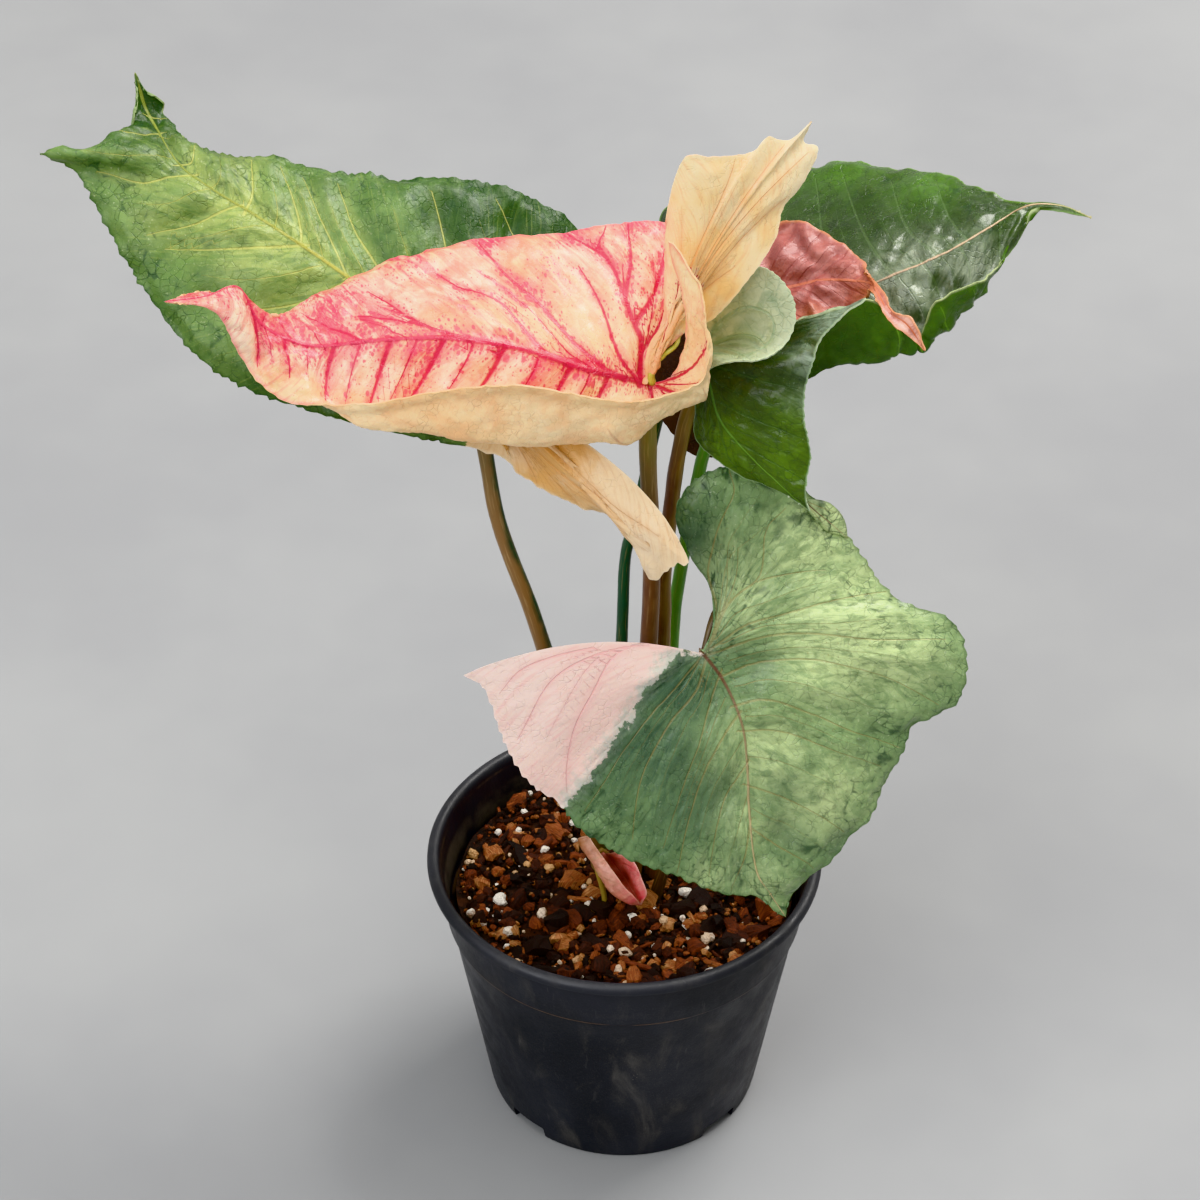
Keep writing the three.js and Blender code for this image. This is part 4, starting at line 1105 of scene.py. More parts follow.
def make_clouds() -> bpy.types.NodeTree:
    """Soft cloudy patches between two limits."""
    inputs = {"Vector": ("Vector", None), "Scale": ("Float", 40.0), "Low": ("Float", 0.4), "High": ("Float", 0.6)}
    g, given, out = effect("Clouds", inputs, ("Mask",))
    vector, scale, low, high = (given.outputs[label] for label in inputs)
    g.feed(out.inputs["Mask"], g.span(g.noise(vector, scale, 4, 0.55, 0.4), low, high))
    return g.tree


def make_dust() -> bpy.types.NodeTree:
    """Pale dust in smudges with fine specks."""
    inputs = {"Vector": ("Vector", None), "Scale": ("Float", 30.0), "Amount": ("Float", 0.5)}
    g, given, out = effect("Dust", inputs, ("Mask",))
    vector, scale, amount = (given.outputs[label] for label in inputs)
    smudge = g.span(g.noise(vector, scale, 6, 0.65, 0.8), 0.48, 0.78)
    fine = g.span(g.noise(vector, g.times(scale, 45), 2, 0.6), 0.5, 0.75)
    g.feed(out.inputs["Mask"], g.times(g.math("ADD", smudge, g.times(fine, 0.35)), amount))
    return g.tree


@dataclass(frozen=True)
class Effects:
    """The shared effects, each built once."""

    veins: bpy.types.NodeTree
    net: bpy.types.NodeTree
    specks: bpy.types.NodeTree
    clouds: bpy.types.NodeTree
    dust: bpy.types.NodeTree


FX = Effects(make_vein_lines(), make_fine_net(), make_specks(), make_clouds(), make_dust())


def new_material(name: str) -> Graph:
    """An empty material's graph."""
    material = bpy.data.materials.new(name)
    material.use_nodes = True
    return Graph(material.node_tree)


def finished(
    g: Graph, name: str, ground: object, rough: object, normal: object = None, **values: object
) -> bpy.types.Material:
    """Ends a material.

    Args:
        g: its graph.
        name: its name.
        ground, rough, normal: what its shader takes as colour, roughness and normal.
        values: the shader's other numbers, with _ for a space in their names.

    Returns:
        The material.
    """
    shader = g.tree.nodes["Principled BSDF"]
    for label, value in (("Base Color", ground), ("Roughness", rough), ("Normal", normal)):
        g.feed(shader.inputs[label], value)
    for label, value in values.items():
        shader.inputs[label.replace("_", " ")].default_value = value
    return bpy.data.materials[name]


@dataclass(frozen=True)
class Paint:
    """The colours and lines of one face of a blade.

    Args:
        base, second, third: the ground and two cloudy colours over it.
        cloud: how many clouds go into a metre.
        vein, vein_strength, spread: the colour, strength and width of the side veins' cores.
        halo, halo_strength, reach: the stain around the veins and how far it goes, in millimetres.
        rib, rib_tip: the midrib's colour at the stalk and at the apex; rib_strength how clear it is.
        net, net_strength, net_scale: the net of small veins.
        edge, edge_strength, edge_width: the margin's colour, and its width in millimetres.
        speck, speck_amount: small dots; fleck, fleck_strength: the finest pale flecks,
        which also stand in as painted glints of sheen.
        strand_strength: fine lines from the midrib outwards, in the colour of the halo.
        streak: how much the marbling is drawn out from the midrib; lower is more.
        lean: how far the side veins lean towards the apex.
        calm: how much less the veins and the blush stain the blade in its shaded patches.
        streaks: how much of the third colour lies in drawn-out streaks.
        ragged: how much of the blush shows between its strands; lower is more ragged.
        shine: the shader's specular level.
        blush, shade: the colours of the blade's patches; on some leaves these colours are painted light and painted
            shade.
        beyond, beyond_second, beyond_vein: the colours past the blade's border line, if it has one.
        brush: how far the border line frays, and brushed_band the width of its pale seam, in millimetres.
        rough: the shader's roughness, and coat the strength of a clear gloss over it.
    """

    base: str
    second: str
    third: str
    cloud: float = 45.0
    vein: str = "#a0b070"
    vein_strength: float = 0.8
    spread: float = 1.0
    halo: str = "#a0b070"
    halo_strength: float = 0.4
    reach: float = 3.0
    rib: str = "#b0b070"
    rib_tip: str = "#b0b070"
    rib_strength: float = 1.0
    rib_reach: float = 1.0
    net: str = "#304c30"
    net_strength: float = 0.3
    net_scale: float = 420.0
    edge: str = "#304c30"
    edge_strength: float = 0.4
    edge_width: float = 1.2
    speck: str = "#d04060"
    speck_amount: float = 0.0
    speck_scale: float = 420.0
    fleck: str = "#ffffff"
    fleck_strength: float = 0.0
    strand_strength: float = 0.0
    third_strength: float = 0.5
    streak: float = 0.4
    lean: float = 0.45
    calm: float = 0.75
    streaks: float = 0.0
    ragged: float = 0.4
    shine: float = 0.45
    blush: str = "#ffffff"
    blush_strength: float = 0.0
    shade: str = "#ffffff"
    shade_strength: float = 0.0
    beyond: Optional[str] = None
    beyond_second: str = "#ffffff"
    beyond_vein: str = "#ffffff"
    brush: float = 2.6
    brushed_band: float = 0.0
    rough: float = 0.42
    coat: float = 0.12
    pores: float = 0.5

    def make(self, name: str) -> bpy.types.Material:
        """Builds the material.

        Args:
            name: its name.

        Returns:
            The material.
        """
        g = new_material(name)
        where, lines = g.place(), g.stored("vein")
        _, rib_far, along = g.split(g.stored("rib"))
        margin, border, blush = g.split(g.stored("area"))
        shade, rib_half, gaps = g.split(g.stored("tint"))
        vein = g.use(FX.veins, lines=lines, spread=self.spread, reach=self.reach)
        core, halo = vein.outputs["Core"], vein.outputs["Halo"]
        mottle = g.noise(g.flow(self.lean, self.streak), 230, 6, 0.7, 1.2)
        clouds = g.use(FX.clouds, vector=where, scale=self.cloud, low=0.42, high=0.6).outputs[0]
        small = g.use(FX.clouds, vector=where, scale=self.cloud * 3.6, low=0.45, high=0.64).outputs[0]
        ground = g.blend(g.times(clouds, 0.85), self.base, self.second)
        ground = g.over(ground, self.third, small, self.third_strength)
        ground = g.over(ground, self.third, g.span(mottle, 0.46, 0.64), self.streaks)
        # Shade patches: a third colour; on some leaves this is painted shade in folds, on others painted light shining
        # through the blade.
        if self.shade_strength:
            shaded = g.times(shade, g.span(mottle, 0.35, 0.6, 0.7, 1.1))
            ground = g.blend(g.math("MULTIPLY", shaded, self.shade_strength, clamp=True), ground, self.shade)
        calm = g.math("SUBTRACT", 1.0, g.times(shade, self.calm))
        stain = g.times(halo, g.span(mottle, 0.4, 0.58, 0.15, 1.0), self.halo_strength, calm)
        ground = g.blend(stain, ground, self.halo)
        rib_halo = g.times(
            g.span(rib_far, self.reach * 1.6, 0.0), g.span(mottle, 0.38, 0.58, 0.25, 1.0), self.halo_strength,
            self.rib_reach, calm,
        )
        ground = g.blend(rib_halo, ground, self.halo)
        # Blush patches: a second colour; on some leaves partly painted light on their lit swellings and glossy
        # crumples.
        if self.blush_strength:
            washed = g.math(
                "MULTIPLY", g.times(blush, g.span(mottle, 0.38, 0.58, self.ragged, 1.1), calm), self.blush_strength,
                clamp=True,
            )
            ground = g.blend(washed, ground, self.blush)
        # Painted highlights: the finest pale flecks stand in for small glints of sheen, and fade in the shade patches.
        flecks = g.span(g.noise(where, 1100, 2, 0.6), 0.6, 0.72)
        ground = g.over(ground, self.fleck, flecks, g.span(mottle, 0.4, 0.65, 0.1, 1.0), self.fleck_strength, calm)
        if self.speck_amount:
            drift = g.use(FX.clouds, vector=where, scale=42.0, low=0.34, high=0.66).outputs[0]
            near = g.math("MAXIMUM", halo, g.span(rib_far, self.reach * 2.2, 0.0))
            amount = g.math("ADD", g.math("ADD", g.times(drift, 0.42), g.times(near, 0.55)), g.times(blush, 0.8))
            amount = g.math("MULTIPLY", amount, self.speck_amount, clamp=True)
            specks = g.use(FX.specks, vector=g.flat((0.6, 1, 1)), scale=self.speck_scale, amount=amount).outputs[0]
            ground = g.over(ground, self.speck, specks, 0.8)
            dots = g.use(FX.specks, vector=where, scale=self.speck_scale * 0.62, amount=g.times(drift, 0.42)).outputs[0]
            ground = g.over(ground, "#b5453f", dots, 0.7)
        strands = g.span(g.noise(g.flow(self.lean, 0.06), 1300, 3, 0.6, 0.3), 0.54, 0.66)
        strands = g.times(strands, g.span(g.noise(where, 70, 3), 0.42, 0.6), self.strand_strength)
        ground = g.blend(strands, ground, self.halo)
        net = g.use(FX.net, vector=where, scale=self.net_scale, width=0.085)
        towards_edge = g.span(margin, 24.0, 3.0, 0.4, 1.0)
        ground = g.over(ground, self.net, net.outputs["Line"], towards_edge, self.net_strength * 0.8)
        crease = g.times(
            g.span(gaps, 0.7, 0.05), g.span(g.noise(where, 160, 3), 0.36, 0.6, 0.15, 1.0), towards_edge,
            self.net_strength * 1.35,
        )
        ground = g.blend(crease, ground, self.net)
        ground = g.blend(g.times(net.outputs["Cell"], 0.16), ground, g.blend(1.0, ground, self.third, "MULTIPLY"))
        ground = g.over(ground, self.vein, core, self.vein_strength)
        rim_colour = self.edge
        if self.beyond:
            brushed = g.noise(g.flat((1, 0.16, 1)), 900, 3, 0.7)
            line = g.math("ADD", border, g.span(brushed, 0.3, 0.7, -self.brush * 0.35, self.brush * 0.35))
            line = g.math("ADD", line, g.span(g.noise(where, 240, 4, 0.65), 0.3, 0.7, -self.brush, self.brush))
            other = g.blend(g.times(clouds, 0.6), self.beyond, self.beyond_second)
            other = g.blend(g.span(border, 0.012 / MM, 0.05 / MM, 0.0, 0.8), other, self.beyond_second)
            fibre = g.span(g.noise(g.flow(self.lean, 0.1), 900, 4, 0.65), 0.45, 0.7)
            other = g.blend(g.times(fibre, 0.35), other, self.beyond_vein)
            other = g.blend(g.times(halo, 0.25), other, self.beyond_vein)
            other = g.blend(g.times(core, 0.5), other, self.beyond_vein)
            if self.brushed_band:
                seam = g.times(
                    g.span(line, self.brushed_band, 0.4), g.span(g.noise(where, 130, 4), 0.3, 0.6, 0.35, 0.9)
                )
                other = g.blend(seam, other, "#b9beb2")
                ground = g.over(ground, "#8f9c8c", g.span(line, -self.brushed_band, 0.0), brushed, 0.6)
            past = g.span(line, -0.35, 0.35)
            ground = g.blend(past, ground, other)
            rim_colour = g.blend(past, self.edge, self.beyond_second)
        rib_core = g.times(g.span(g.math("DIVIDE", rib_far, rib_half), 1.2, 0.35), self.rib_strength)
        rib_colour = g.blend(g.span(along, 0.15, 0.75), self.rib, self.rib_tip)
        ground = g.blend(rib_core, ground, rib_colour)
        rim = g.times(g.span(margin, self.edge_width, 0.0), self.edge_strength)
        ground = g.blend(rim, ground, rim_colour)
        gloss = g.span(g.noise(where, 150, 3, 0.6), 0.3, 0.7, self.rough - 0.06, self.rough + 0.1)
        height = g.math(
            "SUBTRACT", g.times(g.noise(where, 900, 3, 0.6), 0.5), g.times(net.outputs["Line"], 0.7 * self.pores)
        )
        height = g.math("ADD", height, g.times(g.noise(where, 330, 4, 0.6), 0.9 * self.pores))
        height = g.math("SUBTRACT", height, g.times(core, 0.5))
        height = g.math("ADD", height, g.times(rib_core, 0.8))
        return finished(
            g, name, ground, gloss, g.bump(height, 0.0004, 0.75), Coat_Weight=self.coat, Coat_Roughness=0.22,
            Specular_IOR_Level=self.shine, Subsurface_Weight=0.12, Subsurface_Scale=0.0016,
            Subsurface_Radius=(1.0, 0.8, 0.4),
        )


@dataclass(frozen=True)
class StalkPaint:
    """The colours of a stalk: two colours round it, a third near its top and fine lines along it.

    Args:
        base, second: the two colours round the stalk.
        top: the colour near the blade.
        turn: where round the stalk the second colour lies, from 0 to 1.
        share: how much of the way round it goes.
        speckle: the colour of fine lines and dots.
    """

    base: str
    second: str
    top: str
    turn: float = 0.25
    share: float = 0.5
    speckle: str = "#d8c090"
    rough: float = 0.36

    def make(self, name: str) -> bpy.types.Material:
        """Builds the material of that name."""
        g = new_material(name)
        along, around, _ = g.split(g.stored("stem"))
        where = g.place()
        swing = g.math("ABSOLUTE", g.math("SUBTRACT", g.math("FRACT", g.math("ADD", around, 0.5 - self.turn)), 0.5))
        band = g.span(
            g.math("ADD", swing, g.span(g.noise(where, 60, 3), 0.3, 0.7, -0.06, 0.06)), self.share * 0.5 + 0.08,
            self.share * 0.5 - 0.08,
        )
        ground = g.blend(band, self.base, self.second)
        ground = g.blend(g.span(along, 0.7, 1.0), ground, self.top)
        streak = g.noise(g.flat((1, 0.05, 1)), 1500, 3, 0.6)
        ground = g.over(ground, self.speckle, g.span(streak, 0.5, 0.75), 0.35)
        ground = g.over(ground, self.base, g.span(g.noise(where, 120, 4, 0.6), 0.4, 0.7), 0.35)
        ground = g.blend(g.span(along, 0.1, 0.0, 0.0, 0.6), ground, "#3a2a1c")
        height = g.math("ADD", g.times(streak, 0.6), g.times(g.noise(where, 700, 2), 0.4))
        return finished(
            g, name, ground, g.span(streak, 0.3, 0.7, self.rough - 0.05, self.rough + 0.14),
            g.bump(height, 0.00025, 0.5), Coat_Weight=0.1, Coat_Roughness=0.3, Subsurface_Weight=0.08,
            Subsurface_Scale=0.001,
        )


@dataclass
class NurseryPot:
    """The round pot with its rolled rim, ledge, and drain slots in the corner of the floor."""

    foot_radius: float = 41.7
    ledge_height: float = 69.0
    ledge_radius: float = 53.4
    mouth_radius: float = 56.2
    rim_radius: float = 60.0
    height: float = 90.0
    wall: float = 1.3
    floor: float = 1.6
    slot_angles: tuple[float, ...] = (45, 135, 225, 315)
    steps: int = 192

    def profile(self) -> list[tuple[float, float]]:
        """The pot's section, from under the middle of the floor round the rim to the floor inside."""
        r, z = self.ledge_radius, self.ledge_height
        foot, mouth, rim, top = self.foot_radius, self.mouth_radius, self.rim_radius, self.height
        slope = (r - foot) / (z - 0.6)
        outer = [(0, 0), (foot - 1.0, 0), (foot - 0.3, 0.15), (foot, 0.7)]
        outer += [(foot + slope * h, h) for h in (3, 8, 16, 28, 42, 56)]
        outer += [(r - 0.05, z - 0.5), (r + 0.25, z), (r + 1.0, z + 0.45), (r + 1.2, z + 1.0)]
        outer += [(mouth - 1.1, 76), (mouth - 0.35, 82), (mouth, 86.4), (mouth + 0.5, 86.8), (rim - 0.9, 86.7)]
        outer += [(rim - 0.2, 87.0), (rim, 87.8), (rim - 0.1, 88.8), (rim - 0.7, 89.6), (rim - 1.8, top)]
        outer += [(rim - 3.0, top - 0.25), (mouth + 0.1, top - 1.1), (mouth - 0.2, top - 2.4)]
        inner = [(r + 1.2 - self.wall, 74), (r - 0.1, z + 1.2), (r - self.wall, z)]
        inner += [(foot - self.wall + slope * h, h) for h in (50, 30, 12, 4)]
        inner += [(foot - self.wall - 0.6, self.floor + 0.5), (foot - 2.4, self.floor), (0, self.floor)]
        return outer + inner

    def build(self) -> bpy.types.Object:
        """Spins the section into the pot and cuts its slots."""
        pot = spun("moulded_pot", self.profile(), self.steps)
        for angle in self.slot_angles:
            self.cut_slot(pot, angle)
        self.wobble(pot)
        smooth(pot, 40)
        pot.data.materials.clear()
        pot.data.materials.append(self.finish())
        return pot

    def cut_slot(self, pot: bpy.types.Object, angle: float) -> None:
        """Cuts one drain slot through the corner of the floor and wall."""
        turn = math.radians(angle)
        out = self.foot_radius * MM
        deselect()
        where = (out * math.cos(turn), out * math.sin(turn), 0.0013)
        bpy.ops.mesh.primitive_cube_add(size=1, rotation=(0, 0, turn), location=where)
        cutter = bpy.context.object
        cutter.scale = (0.0088, 0.0132, 0.0064)
        bpy.ops.object.transform_apply(location=True, rotation=True, scale=True)
        edit(cutter)
        bpy.ops.mesh.bevel(offset=0.0008, segments=2)
        close_edit()
        apply(pot, "BOOLEAN", object=cutter, operation="DIFFERENCE", solver="EXACT")
        bpy.data.objects.remove(cutter)

    def wobble(self, pot: bpy.types.Object) -> None:
        """Lets the thin wall be a little out of round, never past the rim."""
        points = points_of(pot)
        radius = np.hypot(points[:, 0], points[:, 1])
        soft = ease(points[:, 2], 0.004, 0.04) * ease(radius, 0.02, 0.045)
        points[:, :2] *= (1 - 0.0016 * soft * (1 + waves(points, 0.07, 5)))[:, None]
        move_points(pot, points)

    def finish(self) -> bpy.types.Material:
        """Dusty matt black plastic with smudges, fine scuffs and a line of dirt on the ledge."""
        g = new_material("dusty_black_plastic")
        where = g.place()
        _, _, height = g.split(where)
        ground = g.blend(
            g.use(FX.clouds, vector=where, scale=22.0, low=0.35, high=0.7).outputs[0], "#222327", "#333439"
        )
        wiped = g.node("Mapping")
        g.feed(wiped.inputs["Vector"], where)
        wiped.inputs["Scale"].default_value = (1, 1, 0.35)
        dust = g.use(FX.dust, vector=wiped.outputs[0], scale=70.0, amount=0.42).outputs[0]
        outside = g.span(height, 0.084, 0.074, 0.35, 1.0)
        ground = g.over(ground, "#74716c", dust, outside)
        x, y, _ = g.split(where)
        far = g.math("SQRT", g.math("ADD", g.times(x, x), g.times(y, y)))
        inside = g.times(g.span(far, 0.0549, 0.0545), g.span(height, 0.072, 0.076))
        caked = g.times(inside, g.span(g.noise(where, 60, 6, 0.7), 0.3, 0.6), g.span(height, 0.09, 0.076, 0.25, 1.0))
        ground = g.over(ground, "#6e6860", caked, 0.55)
        tiny = g.use(
            FX.specks, vector=where, scale=520.0, amount=g.span(g.noise(where, 35, 3), 0.5, 0.75, 0.0, 0.34)
        ).outputs[0]
        ground = g.over(ground, "#8f8a82", tiny, 0.6)
        scuffs = g.node("Mapping")
        g.feed(scuffs.inputs["Vector"], where)
        scuffs.inputs["Scale"].default_value = (1, 1, 0.12)
        scratch = g.span(g.noise(scuffs.outputs[0], 420, 2, 0.7), 0.66, 0.74)
        ground = g.over(ground, "#5c5b5a", scratch, 0.25)
        ledge = g.times(
            g.span(g.math("ABSOLUTE", g.math("SUBTRACT", height, 0.0694)), 0.0008, 0.0001),
            g.span(g.noise(where, 70, 4, 0.6), 0.38, 0.6),
        )
        ground = g.over(ground, "#7a6450", ledge, 0.75)
        neck = g.times(
            g.span(g.math("ABSOLUTE", g.math("SUBTRACT", height, 0.0866)), 0.0007, 0.0001),
            g.span(g.noise(where, 90, 4, 0.6), 0.45, 0.65),
        )
        ground = g.over(ground, "#6e6154", neck, 0.5)
        rough = g.span(g.noise(where, 90, 5, 0.65), 0.3, 0.7, 0.36, 0.52)
        rough = g.math("ADD", rough, g.times(dust, 0.4), clamp=True)
        grain = g.math("ADD", g.times(g.noise(where, 1300, 3, 0.6), 0.6), g.times(g.noise(where, 160, 3), 0.8))
        normal = g.bump(grain, 0.0002, 0.5)
        return finished(g, "dusty_black_plastic", ground, rough, normal, Specular_IOR_Level=0.5)


class Crumb(Enum):
    """The kinds of pieces in the mix."""

    BARK = "bark"
    FIBRE = "fibre"
    PERLITE = "perlite"
    GRIT = "grit"


@dataclass(frozen=True)
class Heap:
    """How many pieces of one kind lie on the mix, their sizes in millimetres and their shape."""

    kind: Crumb
    count: int
    smallest: float
    largest: float
    shape: Point
    sink: float
    seed: int


@dataclass
class BarkMix:
    """The dark ground of the mix with chips of bark, splinters, perlite and grit on it."""

    level: float = 75.0
    radius: float = 51.4
    foot: float = 36.5
    bottom: float = 2.2
    heaps: tuple[Heap, ...] = (
        Heap(Crumb.BARK, 250, 4.4, 11.0, (1.0, 0.72, 0.5), 0.35, 3),
        Heap(Crumb.BARK, 780, 2.0, 4.8, (1.0, 0.78, 0.66), 0.1, 4),
        Heap(Crumb.FIBRE, 190, 3.0, 8.0, (1.0, 0.16, 0.12), -0.4, 5),
        Heap(Crumb.PERLITE, 210, 1.3, 4.6, (1.0, 0.86, 0.8), -0.4, 6),
        Heap(Crumb.GRIT, 1900, 0.8, 2.3, (1.0, 0.85, 0.75), -0.6, 7),
    )

    def ground_height(self, x: np.ndarray, y: np.ndarray) -> np.ndarray:
        """The height of the ground at these places, all in millimetres."""
        places = np.column_stack([x, y, np.zeros_like(x)])
        far = np.hypot(x, y)
        return self.level + 1.0 * waves(places, 17.0, 11) + 0.5 * waves(places, 6.0, 12) + 0.6 * ease(far, 38, 50)

    def ground(self) -> bpy.types.Object:
        """Spins the body of the mix and roughens its top."""
        radii = np.concatenate([np.linspace(0, 1, 46)[:-1] ** 0.85, [1.0]]) * self.radius
        section = [(r, self.level) for r in radii] + [(self.radius - 1.2, 60), (self.foot + 6, 30)]
        body = spun("mix_ground", section + [(self.foot, self.bottom), (0, self.bottom)], 120)
        points = points_of(body) / MM
        top = points[:, 2] > self.level - 0.5
        height = self.ground_height(points[:, 0], points[:, 1])
        crumbs = 0.5 * waves(points, 2.4, 13) + 0.35 * waves(points, 1.3, 14)
        points[:, 2] = np.where(top, height + crumbs, points[:, 2])
        move_points(body, points * MM)
        smooth(body, 60)
        store(body, "chip", np.zeros((len(points), 3)))
        body.data.materials.append(self.ground_finish())
        return body

    def model(self, kind: Crumb, number: int) -> tuple[np.ndarray, list[tuple[int, ...]]]:
        """One pattern piece of a kind, a few dozen faces about one unit long.

        Args:
            kind: the kind of piece.
            number: another number gives another shape.

        Returns:
            Its points and its faces.
        """
        draw = np.random.default_rng(100 * number + len(kind.value))
        deselect()
        if kind is Crumb.FIBRE:
            bpy.ops.mesh.primitive_cube_add(size=1)
            piece = bpy.context.object
            edit(piece)
            bpy.ops.mesh.subdivide(number_cuts=1, smoothness=0.35)
            close_edit()
        else:
            bpy.ops.mesh.primitive_ico_sphere_add(subdivisions=1 if kind is Crumb.GRIT else 2, radius=0.5)
            piece = bpy.context.object
        points = points_of(piece)
        if kind is Crumb.BARK:
            points = np.sign(points) * np.abs(points * 2) ** 0.7 / 2
            points += 0.16 * np.stack([waves(points, 0.8, number + 10 * k) for k in range(3)], 1)
        points += {Crumb.BARK: 0.06, Crumb.FIBRE: 0.15}.get(kind, 0.09) * draw.uniform(-1, 1, points.shape)
        points[:, 1] *= 1 - 0.5 * draw.uniform(0, 1) * np.clip(points[:, 0] + 0.3, 0, 1)
        faces = [tuple(face.vertices) for face in piece.data.polygons]
        bpy.data.objects.remove(piece)
        return points, faces

    def scatter(self, heap: Heap, finish: bpy.types.Material) -> bpy.types.Object:
        """Lays the pieces of one heap on the ground as one mesh.

        Args:
            heap: the heap.
            finish: its material.

        Returns:
            The object.
        """
        draw = np.random.default_rng(heap.seed)
        models = [self.model(heap.kind, n) for n in range(9)]
        places, faces, chips = [], [], []
        total = 0
        for _ in range(heap.count):
            points, shapes = models[draw.integers(len(models))]
            size = heap.smallest + (heap.largest - heap.smallest) * draw.uniform() ** 2.2
            scale = np.array(heap.shape) * size * draw.uniform(0.8, 1.2, 3)
            tilt = draw.normal(0, 0.42, 2)
            spin = draw.uniform(0, 2 * np.pi)
            turned = rotation(2, spin) @ rotation(1, tilt[1]) @ rotation(0, tilt[0])
            local = points * scale
            far = (self.radius - 0.6 - size * 0.35) * np.sqrt(draw.uniform())
            turn = draw.uniform(0, 2 * np.pi)
            x, y = far * np.cos(turn), far * np.sin(turn)
            z = self.ground_height(np.array([x]), np.array([y]))[0] + scale[2] * 0.35
            z = z - heap.sink * size * 0.3 + draw.uniform(0, 1.1)
            places.append(local @ turned.T + (x, y, z))
            faces += [tuple(v + total for v in face) for face in shapes]
            tone = draw.uniform()
            grain = (local[:, 0] * 0.05 + tone * 7, local[:, 1] + tone * 13, np.full(len(local), tone))
            chips.append(np.column_stack(grain))
            total += len(points)
        mesh = bpy.data.meshes.new(f"{heap.kind.value}_{heap.seed}")
        points = np.vstack(places)
        radius = np.hypot(points[:, 0], points[:, 1])
        points[:, :2] *= np.minimum(1, (self.radius - 0.2) / np.maximum(radius, 1e-6))[:, None]
        mesh.from_pydata(points * MM, [], faces)
        piece = bpy.data.objects.new(mesh.name, mesh)
        bpy.context.collection.objects.link(piece)
        store(piece, "chip", np.vstack(chips))
        piece.data.materials.append(finish)
        smooth(piece, 35 if heap.kind in (Crumb.BARK, Crumb.FIBRE) else 70)
        return piece

    def ground_finish(self) -> bpy.types.Material:
        """Damp dark peat."""
        g = new_material("dark_peat")
        where = g.place()
        ground = g.blend(g.span(g.noise(where, 420, 5, 0.7), 0.4, 0.66), "#120b08", "#3a2015")
        ground = g.over(ground, "#5b3018", g.span(g.noise(where, 170, 3), 0.55, 0.7), 0.5)
        rough = g.span(g.noise(where, 300, 3), 0.3, 0.7, 0.55, 0.85)
        return finished(g, "dark_peat", ground, rough, g.bump(g.noise(where, 900, 5, 0.75), 0.0009, 1.0))

    def bark_finish(self) -> bpy.types.Material:
        """Bark chips from near black through red brown to tan, each with its own tone and fibres."""
        g = new_material("red_brown_bark")
        chip = g.stored("chip")
        _, _, tone = g.split(chip)
        fibres = g.noise(chip, 6.5, 5, 0.68, 0.6)
        ramp = g.node("ValToRGB")
        stops = (
            (0.0, "#140b08"), (0.36, "#2c150d"), (0.56, "#522616"), (0.74, "#843e20"), (0.9, "#ab6236"),
            (1.0, "#cc9c6c"),
        )
        while len(ramp.color_ramp.elements) < len(stops):
            ramp.color_ramp.elements.new(0.5)
        for element, (place, code) in zip(ramp.color_ramp.elements, stops):
            element.position, element.color = place, colour(code)
        g.feed(ramp.inputs[0], g.math("ADD", tone, g.span(fibres, 0.25, 0.75, -0.22, 0.2), clamp=True))
        dark = g.span(g.noise(g.place(), 500, 4, 0.7), 0.5, 0.72)
        ground = g.blend(g.times(dark, 0.7), ramp.outputs[0], "#150c08")
        rough = g.span(fibres, 0.3, 0.7, 0.42, 0.78)
        height = g.math("ADD", fibres, g.times(g.noise(g.place(), 1400, 4, 0.7), 0.5))
        return finished(g, "red_brown_bark", ground, rough, g.bump(height, 0.0007, 0.9))

    def perlite_finish(self) -> bpy.types.Material:
        """Cream white expanded grains, stained by the peat."""
        g = new_material("stained_perlite")
        where = g.place()
        _, _, tone = g.split(g.stored("chip"))
        ground = g.blend(g.span(tone, 0.35, 1.0), "#efe8dc", "#c79c6c")
        ground = g.blend(g.span(g.noise(where, 260, 4, 0.65), 0.5, 0.72, 0.0, 0.8), ground, "#a06c40")
        pits = g.cells(where, 1500).outputs["Distance"]
        ground = g.blend(g.span(pits, 0.28, 0.1, 0.0, 0.45), ground, "#7a5a40")
        rough = g.span(g.noise(where, 400, 2), 0.3, 0.7, 0.6, 0.85)
        return finished(g, "stained_perlite", ground, rough, g.bump(pits, 0.0005, 0.9))

    def build(self) -> list[bpy.types.Object]:
        """Models the ground and everything that lies on it."""
        bark, perlite = self.bark_finish(), self.perlite_finish()
        made = [self.ground()]
        for heap in self.heaps:
            made.append(self.scatter(heap, perlite if heap.kind is Crumb.PERLITE else bark))
        return made


